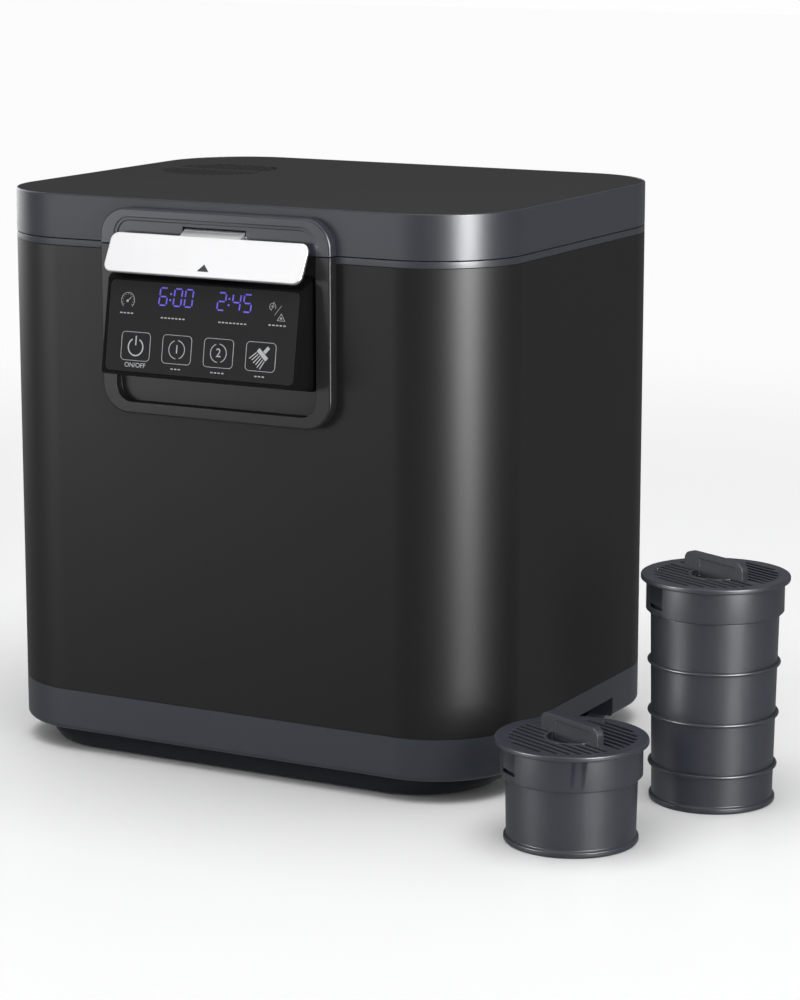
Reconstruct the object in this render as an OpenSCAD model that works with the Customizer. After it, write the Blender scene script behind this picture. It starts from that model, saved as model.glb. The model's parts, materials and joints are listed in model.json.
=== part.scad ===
// Electric food waste composter for a worktop, with its two filter canisters
// standing beside it. Millimetres, +Z up, front towards -Y. The origin is on
// the worktop, under the centre of the main unit.

/* [Main unit] */
// Width across the sides
unit_w = 330; // [322:1:360]
// Depth from the front wall to the rear wall
unit_d = 262.5; // [256:0.5:290]
// Corner radius seen from above
corner_r = 54; // [46:1:58]
// Wall of the black shell
wall = 2.5; // [2:0.1:3]
// Wall of the grey mouldings
ring_wall = 3; // [2.5:0.1:3.5]
// Height of the plinth top above the worktop
plinth_top = 13; // [12:0.5:15]
// Height of the grey base ring
ring_h = 25; // [22:0.5:28]
// Height of the black shell
shell_h = 267.5; // [264:0.5:280]
// Height of the grey lip on top of the shell
lip_h = 4; // [4:0.1:5]
// Gap between body and lid
seam = 0.4; // [0.3:0.05:0.6]
// Height of the lid band
lid_h = 25.6; // [25:0.1:28]

/* [Plinth and feet] */
// Plinth set back from the sides
plinth_in_x = 15.5; // [13:0.5:17]
// Plinth set back from the front and rear
plinth_in_y = 7; // [6:0.5:9]
// Feet stand proud of the underside
foot_out = 1.2; // [1:0.1:2]
// Foot diameter
foot_dia = 24; // [18:1:28]
// Hand-hold length along the side
grip_len = 103; // [85:1:110]
// Hand-hold height above the plinth
grip_h = 12; // [10:0.5:13]
// Hand-hold depth from the side
grip_depth = 21; // [18:0.5:21]

/* [Front frame and control panel] */
// Frame width
frame_w = 152; // [146:1:158]
// Frame reaches this far below the seam
frame_drop = 98; // [94:0.5:104]
// Frame reaches this far above the seam
frame_rise = 20.6; // [20:0.2:22]
// Frame stands proud of the front
frame_proud = 7; // [6:0.2:8]
// Frame bar width at the sides
bar_side = 9.5; // [8.5:0.1:9.8]
// Frame bar width at the bottom
bar_low = 7; // [6:0.2:9]
// Outer corner radius of the frame
frame_r = 17; // [14:0.5:18]
// Gap between pod and frame at each side
pod_side = 2.1; // [1.5:0.1:4]
// Pod's bottom edge below the seam
pod_drop = 72.1; // [71:0.1:76]
// Pod's bottom edge stands proud of the front
pod_proud = 25.6; // [24:0.2:28]
// Length of the pod's sloping face
pod_face = 56; // [54:0.5:56.5]
// Slope of the pod's face from upright
pod_tilt = 9.4; // [8:0.1:11]
// Rim round the glass
glass_rim = 2; // [1.5:0.1:3.5]
// Glass thickness
glass_t = 1.2; // [1:0.1:1.5]

/* [Pick-up flap] */
// Flap narrower than the frame's opening, at each side
flap_side = 1.5; // [1:0.1:5]
// Flap length
flap_len = 24.2; // [22:0.1:25]
// Flap thickness
flap_t = 2.2; // [1.8:0.1:2.4]
// Flap slope from upright
flap_tilt = 27.8; // [26:0.1:30]
// Step between frame and the grey panel behind the flap
frame_step = 1.9; // [1.5:0.1:2.2]
// Panel stands proud of the front
hood_proud = 5.6; // [5.2:0.1:6]
// Panel top above the lid's lower edge
hood_rise = 13.7; // [13.2:0.1:14.2]
// Width of the window in the panel
neck_gap_w = 42; // [36:0.5:46]
// Latch pin diameter
latch_pin_d = 2.4; // [2:0.1:2.8]

/* [Vent] */
// Radius of the slotted field
vent_r = 36; // [30:0.5:38]
// Slot width
vent_slot = 2; // [1.6:0.1:2.4]
// Slot spacing
vent_pitch = 4.4; // [4:0.1:5]

/* [Filter canisters] */
// Height of the tall canister
tall_h = 131; // [120:1:140]
// Height of the short canister
short_h = 58; // [52:1:66]
// Outer diameter of the cap's flange
flange_d = 84.4; // [82:0.2:86]
// Flange thickness
flange_t = 3; // [2.6:0.1:3.4]
// Outer diameter of the cap's collar
collar_d = 78; // [77.5:0.1:79]
// Flange top to collar bottom
collar_h = 21; // [20:0.5:24]
// Canister diameter under the collar
can_d = 72.6; // [72:0.1:72.8]
// Diameter at the foot of the tall canister; the short one has the same draft
can_foot_d = 68.8; // [67:0.2:71]
// Canister wall
can_wall = 1.8; // [1.5:0.1:2.2]
// Gap round a piece that turns or slides
slip = 0.4; // [0.3:0.05:0.5]
// Length of the fin handle
fin_len = 48; // [44:0.5:56]
// Height of the fin handle
fin_h = 9.7; // [8.5:0.1:11]
// Thickness of the fin handle
fin_t = 4.6; // [4:0.1:5.5]
// Radius of the finger well
well_r = 14; // [13:0.5:16]
// Twist that locks the cap
cap_twist = 22; // [18:1:24]

/* [Bucket and drive] */
// Room between the bucket's well and the filter bays; the bucket takes the rest
well_gap = 13.3; // [12.5:0.1:20]
// Bucket height
bucket_h = 166; // [155:1:168]
// Bucket wall
bucket_t = 1.6; // [1.4:0.1:2]
// Gap between bucket rim and pot
pot_gap = 1; // [0.8:0.1:1.5]
// Shaft radius
shaft_r = 6; // [5.5:0.1:6.4]
// Running clearance of shafts and pins
run = 0.05; // [0.03:0.01:0.08]
// Lid hinge pin radius
hinge_pin_r = 2; // [1.6:0.1:2.2]

/* [Hidden] */
$fn = 96;
e = 0.01;

// Heights, from the worktop up
z_ring = plinth_top;
z_shell = z_ring + ring_h;
z_lip = z_shell + shell_h;
z_body = z_lip + lip_h;
z_lid = z_body + seam;
z_top = z_lid + lid_h;
half_w = unit_w / 2;
half_d = unit_d / 2;
face_y = -half_d;

// Plinth, ring flange and chassis
plinth_w = unit_w - 2 * plinth_in_x;
plinth_d = unit_d - 2 * plinth_in_y;
plinth_r = corner_r - 4;
plinth_t = 3;
floor_z = foot_out + plinth_t;
flange_in = 30;
ring_flange_t = 2.5;
z_chassis = z_ring + ring_flange_t;
chassis_t = 1.5;
z_gear = z_chassis + chassis_t;
chassis_slot_x = 49.5;
chassis_slot_len = 40;
grip_wall = 2.5;
chassis_in = grip_depth + grip_wall + 0.5;
foot_stem_r = 4;
foot_pocket = 1.3;
cell_t = 3;
cell_w = 30;
foot_pos = [for (sx = [-1, 1], sy = [-1, 1])
  [sx * (plinth_w / 2 - 42), sy * (plinth_d / 2 - 30)]];
intake_n = 9;

// Openings in the shell
cable_w = 70;
cable_h = 30;
inlet_x = -72;
inlet_w = 27.4;
inlet_h = 19.8;
inlet_z = 64;
rear_vent_x = 62;
rear_vent_z = 52;

// Inner deck
deck_t = 3;
z_deck = z_body - 3.5;
deck_in = ring_wall + 0.3;
ledge_w = 6;

// Bucket well at the right, filter bays at the left
pot_t = 1.5;
jacket_gap = 0.5;
jacket_t = 6;
rim_out = 4;
bay_edge = 10.3;
bay_flange_r = flange_d / 2 + 4;
well_edge = ring_wall + ledge_w + 0.5;
jacket_r = (unit_w - well_edge - wall - bay_edge - 2 * bay_flange_r - well_gap) / 2;
bucket_r = jacket_r - jacket_t - jacket_gap - pot_t - pot_gap - rim_out;
rim_r = bucket_r + rim_out;
pot_r = rim_r + pot_gap;
bucket_x = half_w - well_edge - jacket_r;
bucket_y = 0;
z_pot = 104;
pot_floor = z_pot + 2;
bucket_z = pot_floor + 0.3;
bucket_floor = bucket_z + bucket_t;
bucket_top = bucket_z + bucket_h;
bail_r = 2.2;
grip_r = 3.4;
bail_z = bucket_top + grip_r + 0.3;
boss_r = 17;
boss_top = bucket_z + 17.7;
deck_hole_r = pot_r + 1;

bay_r = collar_d / 2 + 1.25;
bay_t = 1.5;
bay_x = -half_w + wall + bay_edge + bay_flange_r;
bay_gap = 2;
tall_bay_y = 42;
short_bay_y = tall_bay_y - 2 * bay_flange_r - bay_gap;
z_bay = z_deck - flange_t;
tall_bay_z = z_bay - (tall_h - flange_t);
short_bay_z = z_bay - (short_h - flange_t);
bay_port_r = 29;
port_bar_t = 3;

// Fan and duct under the bays
fan_w = 60;
fan_h = 15;
duct_t = 2;
duct_top = tall_bay_z - 2 - 6 - fan_h;
duct_floor = duct_top - 38;
impeller_r = 27;
blades = 7;

// Gear train: 14-tooth pinions throughout, stub teeth
pinion_z = 14;
out_z = 54;
second_z = 46;
first_z = 48;
out_m = 1.5;
second_m = 1.25;
first_m = 1;
out_dist = out_m * (out_z + pinion_z) / 2;
second_dist = second_m * (second_z + pinion_z) / 2;
first_dist = first_m * (first_z + pinion_z) / 2;
dir_second = 205;
dir_first = 150;
dir_motor = 200;
out_pos = [bucket_x, bucket_y];
second_pos = out_pos + out_dist * [cos(dir_second), sin(dir_second)];
first_pos = second_pos + second_dist * [cos(dir_first), sin(dir_first)];
motor_pos = first_pos + first_dist * [cos(dir_motor), sin(dir_motor)];
gear_floor = z_gear + 3;
out_lo = gear_floor + 2;
out_t = 7.5;
second_lo = out_lo + out_t + 1.5;
second_t = 7;
first_lo = second_lo + second_t + 2;
first_t = 6;
gear_top = first_lo + first_t + 2;
cover_t = 3;
z_cover = gear_top;
z_motor = z_cover + cover_t;
axle_r = 2.5;
bush_r = shaft_r + 3;
motor_r = 30;
motor_h = 34;
rotor_r = 17;
motor_shaft_r = 3;
case_wall = 3;

// Main board, between the shell's left side and the gear case
board_in = 23.5;
board_gap = 7.7;
board_l = 100;
board_lift = 6;
board_x0 = -half_w + wall + board_in;
board_x1 = motor_pos[0] - first_m * pinion_z / 2 - 8 - case_wall - board_gap;
board_w = board_x1 - board_x0;
board_y = tall_bay_y - 12;

// Spindle and agitator
spindle_r = 5;
spindle_bush_r = spindle_r + 3;
dog_r = 12;
dog_z = bucket_z + 0.7;
tongue_t = 5.6;
hub_r = 21.5;
hub_top = bucket_z + 45;

// Front group: u is the distance proud of the front wall
frame_z0 = z_body - frame_drop;
frame_z1 = z_lid + frame_rise;
frame_in_w = frame_w - 2 * bar_side;
frame_in_r = 10;
frame_in_z0 = frame_z0 + bar_low;
frame_step_u = frame_proud - 0.6;
frame_in_z1 = z_lid + hood_rise + frame_step;
pod_w = frame_in_w - 2 * pod_side;
flap_w = frame_in_w - 2 * flap_side;
hood_w = frame_in_w - 2 * frame_step;
tray_t = 1.5;
pod_z0 = z_body - pod_drop;
pod_wall = 2;
pod_r = 4.5;
pod_u1 = pod_proud - pod_face * sin(pod_tilt);
pod_z1 = pod_z0 + pod_face * cos(pod_tilt);
glass_w = pod_w - 2 * glass_rim;
glass_len = pod_face - 2 * glass_rim;
glass_gap = 0.25;
key_n = 4;
key_left = 17.9;
key_right = 22.5;
key_pitch = (glass_w - key_left - key_right) / (key_n - 1);
hood_z1 = z_lid + hood_rise;
hood_wall = 1.6;
neck_gap_z1 = hood_z1 - 2.1;
flap_u0 = hood_proud + 5.3;
flap_z0 = z_lid + 7.4;
axis_u = 3.6;
axis_z = z_lid + 7.6;
barrel_r = 3;
arm_w = 16;
keeper_z = z_body - 9;

// Hinge at the rear
hinge_gap = 0.55;
knuckle_r = 4.2;
hinge_y = half_d + knuckle_r + hinge_gap;
hinge_z = z_body + seam / 2;
hinge_x = 75;
arm_knuckle = 16;
side_knuckle = 10;
knuckle_play = 0.3;
leaf_t = 3;

// Lid
lip_w = 1.5;
ledge_t = 2;
panel_t = 2.2;
panel_z = z_top - 0.2 - panel_t;
panel_gap = 0.15;
liner_z = z_lid + 9.6;
liner_t = 2;
gasket_r = deck_hole_r + 4;
gasket_h = liner_z - 7.5 - z_deck;

// Canister places on the worktop, and the angle of the fin handle
short_side = 64.6;
short_front = 13.5;
tall_side = 101.9;
tall_back = 95.6;
short_pos = [half_w + short_side, face_y - short_front];
tall_pos = [half_w + tall_side, face_y + tall_back];
fin_angle = -25;
neck_r = can_d / 2 - 0.3;
collar_in = neck_r + slip;
lug_out = neck_r + 2;
lug_a = 9;
lug_t = 2;
window_h = lug_t + 2 * slip;
window_drop = 15.5;
window_a = 246;
window_open = cap_twist;
function foot_r(h) = can_d / 2
  - (can_d - can_foot_d) / 2 * (h - collar_h) / (tall_h - collar_h);
cap_t = 2.4;
well_depth = 5;
cap_slot = 2.8;
cap_pitch = 4.7;
cap_slots = 7;
cap_field_r = 35.2;
fin_corner = 5;
grip_from = 0.26;
grip_to = 0.87;
grip_top = 3;
rib_r = 1.1;
rib_out = 0.8;
rib_z = [21.5, 51.5, 81];

// Rounded rectangle, centred
module rr2(w, d, r) {
  square([w - 2 * r, d], center = true);
  square([w, d - 2 * r], center = true);
  for (sx = [-1, 1], sy = [-1, 1])
    translate([sx * (w / 2 - r), sy * (d / 2 - r)])
      circle(r);
}

module slab(w, d, r, h) linear_extrude(h) rr2(w, d, r);

// Carries a profile round a rounded rectangle. In the profile x is 0 on the
// outline and negative inside it, and y is up.
module rr_sweep(w, d, r) {
  for (k = [0:3]) {
    rotate([0, 0, 90 * k])
      translate([(k % 2 == 0 ? w : d) / 2, 0, 0])
        rotate([90, 0, 0])
          linear_extrude((k % 2 == 0 ? d : w) - 2 * r, center = true)
            children();
    rotate([0, 0, 90 * k])
      translate([(k % 2 == 0 ? w : d) / 2 - r, (k % 2 == 0 ? d : w) / 2 - r, 0])
        rotate_extrude(angle = 90)
          translate([r, 0])
            children();
  }
}

// Quarter disc with its round side out and up
module quarter(r) intersection() {
  circle(r);
  square(r);
}

// Slab whose upper outer edge is rounded
module pillow(w, d, r, h, edge) {
  slab(w, d, r, h - edge);
  slab(w - 2 * edge, d - 2 * edge, r - edge, h);
  translate([0, 0, h - edge])
    rr_sweep(w, d, r)
      translate([-edge, 0])
        quarter(edge);
}

// Puts a drawing on the front wall: x across, y up, z out of the wall
module on_front() translate([0, face_y, 0]) rotate([90, 0, 0]) children();

// A drawing in the plane of out-of-wall distance u and height, run along X
module across(len) rotate([90, 0, 90])
  linear_extrude(len, center = true)
    children();

function uz(u, z) = [face_y - u, z];

// Ring of material between two radii
module tube(r_in, r_out, h) rotate_extrude() translate([r_in, 0]) square([r_out - r_in, h]);

// Slot with round ends along Y, centred
module slot2(w, len) {
  square([w, len - w], center = true);
  for (s = [-1, 1]) translate([0, s * (len - w) / 2]) circle(w / 2);
}

// Involute gear outline with stub teeth; one tooth points along +X
function inv_pt(rb, t) = rb * [
  cos(t) + t * PI / 180 * sin(t),
  sin(t) - t * PI / 180 * cos(t)
];
function turned(p, a) = [p[0] * cos(a) - p[1] * sin(a), p[0] * sin(a) + p[1] * cos(a)];
function roll(r, rb) = r > rb ? sqrt(pow(r / rb, 2) - 1) * 180 / PI : 0;
pressure = 20;
lash = 0.1;
flank_n = 3;
module gear2(m, z) {
  r = m * z / 2;
  rb = r * cos(pressure);
  tip = r + 0.8 * m;
  root = r - 1.1 * m;
  half = 90 / z + tan(pressure) * 180 / PI - pressure - lash / r * 180 / PI;
  t0 = roll(max(rb, root), rb);
  t1 = roll(tip, rb);
  flank = [for (i = [0:flank_n]) inv_pt(rb, t0 + (t1 - t0) * i / flank_n)];
  tooth = concat(
    [turned([root, 0], -half)],
    [for (p = flank) turned(p, -half)],
    [for (i = [flank_n:-1:0]) turned([flank[i][0], -flank[i][1]], half)],
    [turned([root, 0], half)]
  );
  polygon([for (k = [0:z - 1]) for (p = tooth) turned(p, 360 * k / z)]);
}

module at(p, z = 0) translate([p[0], p[1], z]) children();

// Plinth, feet and base ring

module base_plinth() color([0.11, 0.13, 0.16]) difference() {
  union() {
    translate([0, 0, foot_out])
      slab(plinth_w - 8, plinth_d - 8, plinth_r - 4, plinth_t);
    translate([0, 0, foot_out])
      rr_sweep(plinth_w, plinth_d, plinth_r)
        polygon([
          [-6, 0], [-4, 0], [-0.8, 4.5], [0, 7],
          [0, z_ring - foot_out], [-3, z_ring - foot_out], [-3, 7], [-6, plinth_t]
        ]);
    for (p = foot_pos)
      at(p, foot_out) cylinder(r = foot_dia / 2 + 2.5, h = plinth_t + 0.5);
  }
  for (p = foot_pos) at(p, foot_out - e) {
    cylinder(r = foot_dia / 2 + 0.2, h = foot_pocket + e);
    cylinder(r = foot_stem_r + 0.3, h = 20);
  }
  for (sx = [-1, 1], k = [0:intake_n - 1])
    translate([sx * 70, (k - (intake_n - 1) / 2) * 9, foot_out - e])
      linear_extrude(plinth_t + 1)
        rotate([0, 0, 90]) slot2(3.6, 60);
}

module rubber_feet() color([0.07, 0.07, 0.07]) for (p = foot_pos) at(p) {
  cylinder(r1 = foot_dia / 2 - 0.8, r2 = foot_dia / 2, h = 0.8);
  translate([0, 0, 0.8]) cylinder(r = foot_dia / 2, h = foot_out + foot_pocket - 0.8);
  cylinder(r = foot_stem_r, h = floor_z + 0.5);
}

module load_cells() color([0.72, 0.73, 0.75]) for (p = foot_pos) at(p, floor_z + 0.5)
  difference() {
    translate([-cell_w / 2, -cell_w / 2, 0]) cube([cell_w, cell_w, cell_t]);
    for (s = [-1, 1])
      translate([-cell_w / 2 + 5, s * 7 - 1.25, -e]) cube([cell_w - 10, 2.5, cell_t + 1]);
  }

module base_ring() color([0.28, 0.30, 0.34]) {
  difference() {
    translate([0, 0, z_ring]) rr_sweep(unit_w, unit_d, corner_r) {
      translate([-ring_wall, ring_wall]) square([ring_wall, ring_h - ring_wall]);
      translate([-flange_in, 0]) square([flange_in - ring_wall, ring_flange_t]);
      translate([-ring_wall, 0]) intersection() {
        translate([0, ring_wall]) circle(ring_wall);
        square(ring_wall);
      }
      translate([-wall - 0.1 - 2, ring_h - 6]) square([2, 9]);
    }
    for (s = [-1, 1])
      translate([s * (half_w - grip_depth / 2), 0, z_ring + grip_h / 2 - 5])
        cube([grip_depth + 20, grip_len, grip_h + 10], center = true);
  }
  for (s = [-1, 1]) grip_scoop(s);
}

// Pocket that the fingers reach into from the side
module grip_scoop(s) intersection() {
  translate([0, 0, z_ring]) slab(unit_w - ring_wall, unit_d, corner_r, ring_h);
  translate([s * (half_w - grip_depth / 2), 0, z_ring]) difference() {
    translate([-grip_depth / 2 - grip_wall, -grip_len / 2 - grip_wall, 0])
      scoop_block(s, grip_depth + 2 * grip_wall, grip_len + 2 * grip_wall, grip_h + grip_wall);
    translate([-grip_depth / 2 - (s > 0 ? 0 : 20), -grip_len / 2, -1])
      cube([grip_depth + 20, grip_len, grip_h + 1]);
  }
}

module scoop_block(s, w, d, h) translate([s > 0 ? 0 : grip_wall, 0, 0])
  cube([w - grip_wall, d, h]);

// Shell, top frame and deck

module body_shell() color([0.16, 0.16, 0.16]) difference() {
  translate([0, 0, z_shell]) rr_sweep(unit_w, unit_d, corner_r)
    translate([-wall, 0]) square([wall, shell_h]);
  on_front() translate([0, (pod_z0 + pod_z1) / 2, -10])
    linear_extrude(20) rr2(cable_w, cable_h, 3);
  translate([inlet_x - inlet_w / 2, half_d - 10, inlet_z - inlet_h / 2])
    cube([inlet_w, 20, inlet_h]);
  for (k = [0:8])
    translate([rear_vent_x, half_d - 10, rear_vent_z + k * 6])
      rotate([-90, 0, 0]) linear_extrude(20) rotate([0, 0, 90]) slot2(2.6, 70);
}
module top_frame() color([0.28, 0.30, 0.34]) translate([0, 0, z_lip])
  rr_sweep(unit_w, unit_d, corner_r) {
    translate([-ring_wall, 0]) square([ring_wall, lip_h]);
    translate([-wall - 0.1 - 2, -9]) square([2, 9 + z_deck - deck_t - z_lip]);
    translate([-ledge_w - ring_wall, -2.5 + z_deck - deck_t - z_lip])
      square([ledge_w + ring_wall - wall - 0.1, 2.5]);
  }

module inner_deck() color([0.22, 0.23, 0.25]) difference() {
  union() {
    translate([0, 0, z_deck - deck_t])
      slab(unit_w - 2 * deck_in, unit_d - 2 * deck_in, corner_r - deck_in, deck_t);
    at(out_pos, z_deck) tube(deck_hole_r, deck_hole_r + 2, 1);
  }
  at(out_pos, z_deck - 10) cylinder(r = deck_hole_r, h = 20);
  for (y = [tall_bay_y, short_bay_y])
    translate([bay_x, y, z_deck - 10]) cylinder(r = flange_d / 2 + 0.6, h = 20);
}

// Control panel

module frame_block(z0, z1) intersection() {
  on_front() translate([0, (frame_z0 + frame_z1) / 2, 0])
    pillow(frame_w, frame_z1 - frame_z0, frame_r, frame_proud, 1.2);
  translate([-frame_w, face_y - 50, z0]) cube([2 * frame_w, 50, z1 - z0]);
}

module frame_hole(depth) on_front() translate([0, (frame_in_z0 + frame_in_z1) / 2, depth])
  slab(frame_in_w, frame_in_z1 - frame_in_z0, frame_in_r, 20);

module control_bezel() color([0.14, 0.14, 0.14]) difference() {
  frame_block(frame_z0, z_body);
  frame_hole(tray_t);
  on_front() translate([0, (pod_z0 + pod_z1) / 2, -e])
    linear_extrude(20) rr2(cable_w, cable_h, 3);
  on_front() translate([-arm_w / 2 - 2, keeper_z - 3, -e])
    cube([arm_w + 4, 6, 10]);
}

// Side view of the pod, drawn a given wall inside its outline
module pod_side(t) polygon([
  uz(tray_t, pod_z0 - 5 + t),
  uz(pod_proud - t - 1.2, pod_z0 - 0.2 + t),
  uz(pod_proud - t, pod_z0 + 1 + t),
  uz(pod_u1 - t, pod_z1 - 1 - t),
  uz(pod_u1 - 1.4 - t, pod_z1 + 0.2 - t),
  uz(tray_t, pod_z1 + 5.5 - t)
]);

module on_panel(n = 0) on_front() translate([0, pod_z0, pod_proud])
  rotate([-pod_tilt, 0, 0]) translate([0, 0, n]) children();

module control_pod() color([0.13, 0.13, 0.14]) difference() {
  intersection() {
    across(pod_w) pod_side(0);
    on_front() translate([0, (pod_z0 - 5 + pod_z1 + 5.5) / 2, 0])
      slab(pod_w, pod_z1 - pod_z0 + 10.5, pod_r, 40);
  }
  difference() {
    across(pod_w - 2 * pod_wall) pod_side(pod_wall);
    on_panel() translate([0, pod_face / 2, 0])
      cube([pod_w, pod_face + 20, 2 * (glass_t + 1.4)], center = true);
  }
  on_panel(-glass_t) translate([0, pod_face / 2, 0])
    slab(glass_w + 2 * glass_gap, glass_len + 2 * glass_gap, pod_r - 1, 10);
  on_panel(-glass_t - 5) translate([0, pod_face / 2, 0])
    slab(glass_w - 6, glass_len - 6, pod_r - 1, 10);
}

module control_glass() color([0.10, 0.10, 0.11]) on_panel(-glass_t)
  translate([0, pod_face / 2, 0])
    slab(glass_w, glass_len, pod_r - 1.2, glass_t);

module display_board() color([0.10, 0.35, 0.20]) on_panel(-glass_t - 1.4 - 4.2)
  translate([0, pod_face / 2, 0]) {
    slab(glass_w - 12, glass_len - 10, 2, 1.6);
    for (x = [-20, 22])
      translate([x - 13, 9.5, 1.6]) cube([26, 11.5, 4]);
    for (k = [0:key_n - 1])
      translate([key_left - glass_w / 2 + k * key_pitch - 5, -16.5, 1.6]) cube([10, 10, 3.6]);
    translate([-35, -14, -2.4]) cube([14, 14, 2.4]);
  }

// Chassis and gear case

module chassis_plate() color([0.62, 0.63, 0.65]) translate([0, 0, z_chassis]) difference() {
  slab(unit_w - 2 * chassis_in, unit_d - 2 * chassis_in + 8, corner_r - chassis_in + 6, chassis_t);
  for (k = [0:6])
    translate([bucket_x + chassis_slot_x, (k - 3) * 12, -e])
      linear_extrude(chassis_t + 1) rotate([0, 0, 90]) slot2(4, chassis_slot_len);
}

module case_outline(grow) {
  hull() {
    at(out_pos) circle(out_m * out_z / 2 + 5 + grow);
    at(second_pos) circle(second_m * second_z / 2 + 5 + grow);
  }
  hull() {
    at(first_pos) circle(first_m * first_z / 2 + 5 + grow);
    at(motor_pos) circle(first_m * pinion_z / 2 + 8 + grow);
    at(second_pos) circle(second_m * second_z / 2 + 3 + grow);
  }
}

module gear_case() color([0.80, 0.80, 0.78]) difference() {
  union() {
    difference() {
      translate([0, 0, z_gear]) linear_extrude(gear_top - z_gear) case_outline(case_wall);
      translate([0, 0, gear_floor]) linear_extrude(50) case_outline(0);
    }
    at(second_pos, z_gear) cylinder(r = 5, h = out_lo - 0.3 - z_gear);
    at(first_pos, z_gear) cylinder(r = 5, h = second_lo - 0.6 - z_gear);
  }
  at(out_pos, z_gear + 0.5) cylinder(r = bush_r, h = 20);
  at(second_pos, z_gear + 0.5) cylinder(r = axle_r, h = 40);
  at(first_pos, z_gear + 0.5) cylinder(r = axle_r, h = 40);
}

module gear_cover() color([0.80, 0.80, 0.78]) difference() {
  union() {
    translate([0, 0, z_cover]) linear_extrude(cover_t) case_outline(case_wall);
    at(second_pos, second_lo + second_t + 0.3)
      cylinder(r = 5, h = z_cover - second_lo - second_t);
    at(first_pos, first_lo + first_t + 0.3)
      cylinder(r = 5, h = z_cover - first_lo - first_t);
    at(out_pos, z_cover) cylinder(r = bush_r + 4, h = cover_t + 5);
  }
  at(out_pos, z_cover - 10) cylinder(r = bush_r, h = 40);
  at(second_pos, z_cover - 20) cylinder(r = axle_r, h = 20 + cover_t - 1);
  at(first_pos, z_cover - 20) cylinder(r = axle_r, h = 20 + cover_t - 1);
  at(motor_pos, z_cover - 1) cylinder(r = motor_shaft_r + 5, h = 20);
}

module gear_axles() color([0.75, 0.76, 0.78]) {
  for (p = [second_pos, first_pos])
    at(p, z_gear + 0.5) cylinder(r = axle_r, h = z_motor - 1 - z_gear - 0.5);
}

module shaft_bushes() color([0.70, 0.52, 0.26]) {
  at(out_pos, z_gear + 0.5) tube(shaft_r + run, bush_r, out_lo - 0.3 - z_gear - 0.5);
  at(out_pos, z_cover) tube(shaft_r + run, bush_r, cover_t + 5);
  at(out_pos, z_pot) tube(shaft_r + run, bush_r, 2);
  at(out_pos, boss_top - 6) tube(spindle_r + run, spindle_bush_r, 7);
}

// Motor

module motor_can() color([0.55, 0.56, 0.58]) at(motor_pos, z_motor) difference() {
  union() {
    cylinder(r = motor_r, h = motor_h);
    translate([0, 0, motor_h]) cylinder(r = 8, h = 2);
  }
  translate([0, 0, 2]) cylinder(r = motor_r - 2, h = motor_h - 4);
  translate([0, 0, -e]) cylinder(r = motor_shaft_r + run, h = motor_h + 0.5);
}

module motor_stator() color([0.66, 0.40, 0.20]) at(motor_pos, z_motor + 6)
  difference() {
    cylinder(r = motor_r - 2, h = motor_h - 12);
    translate([0, 0, -e]) cylinder(r = rotor_r + 0.6, h = motor_h);
    for (k = [0:11])
      rotate([0, 0, 30 * k]) translate([rotor_r + 4, -1, -e]) cube([5, 2, motor_h]);
  }

module motor_rotor() color([0.60, 0.61, 0.63]) at(motor_pos) {
  translate([0, 0, first_lo - 0.5]) cylinder(r = motor_shaft_r, h = z_motor + motor_h - 0.5 - first_lo);
  translate([0, 0, z_motor + 8]) cylinder(r = rotor_r, h = motor_h - 16);
  translate([0, 0, first_lo]) rotate([0, 0, dir_motor + 180])
    linear_extrude(first_t) gear2(first_m, pinion_z);
}

// Gears

module output_gear() color([0.88, 0.87, 0.82]) at(out_pos, out_lo) difference() {
  union() {
    linear_extrude(out_t) rotate([0, 0, dir_second + 180 / out_z]) gear2(out_m, out_z);
    cylinder(r = 11, h = z_cover - out_lo - 0.4);
  }
  translate([0, 0, -e]) cylinder(r = shaft_r, h = 60);
}

module second_gear() color([0.88, 0.87, 0.82]) at(second_pos) difference() {
  union() {
    translate([0, 0, out_lo]) linear_extrude(second_lo - out_lo)
      rotate([0, 0, dir_second + 180]) gear2(out_m, pinion_z);
    translate([0, 0, second_lo]) linear_extrude(second_t)
      rotate([0, 0, dir_first + 180 / second_z]) gear2(second_m, second_z);
  }
  translate([0, 0, out_lo - 1]) cylinder(r = axle_r + run, h = 60);
}

module first_gear() color([0.88, 0.87, 0.82]) at(first_pos) difference() {
  union() {
    translate([0, 0, second_lo - 0.3]) linear_extrude(first_lo - second_lo + 0.3)
      rotate([0, 0, dir_first + 180]) gear2(second_m, pinion_z);
    translate([0, 0, first_lo]) linear_extrude(first_t)
      rotate([0, 0, dir_motor + 180 / first_z]) gear2(first_m, first_z);
  }
  translate([0, 0, second_lo - 1]) cylinder(r = axle_r + run, h = 60);
}

module drive_shaft() color([0.75, 0.76, 0.78]) at(out_pos) difference() {
  union() {
    translate([0, 0, z_gear + 1]) cylinder(r = shaft_r, h = dog_z - z_gear - 1);
    translate([0, 0, dog_z]) cylinder(r = dog_r, h = 9);
  }
  translate([-20, -tongue_t / 2 - 0.1, dog_z + 4]) cube([40, tongue_t + 0.2, 10]);
}

module agitator_spindle() color([0.78, 0.79, 0.81]) at(out_pos) {
  translate([0, 0, dog_z + 4]) intersection() {
    cylinder(r = dog_r - 0.5, h = 5.2);
    translate([-20, -tongue_t / 2, 0]) cube([40, tongue_t, 5.2]);
  }
  translate([0, 0, dog_z + 9.2]) cylinder(r = spindle_r, h = hub_top - 3 - dog_z - 9.2);
}

// Blade with a tapered outline, pitched about its own length
module blade(r0, r1, w0, w1, t, pitch) rotate([pitch, 0, 0])
  translate([0, 0, -t / 2]) linear_extrude(t)
    polygon([[r0, -w0 / 2], [r1 - 3, -w1 / 2], [r1, -w1 / 2 + 3], [r1, w1 / 2 - 3],
      [r1 - 3, w1 / 2], [r0, w0 / 2]]);

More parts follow.
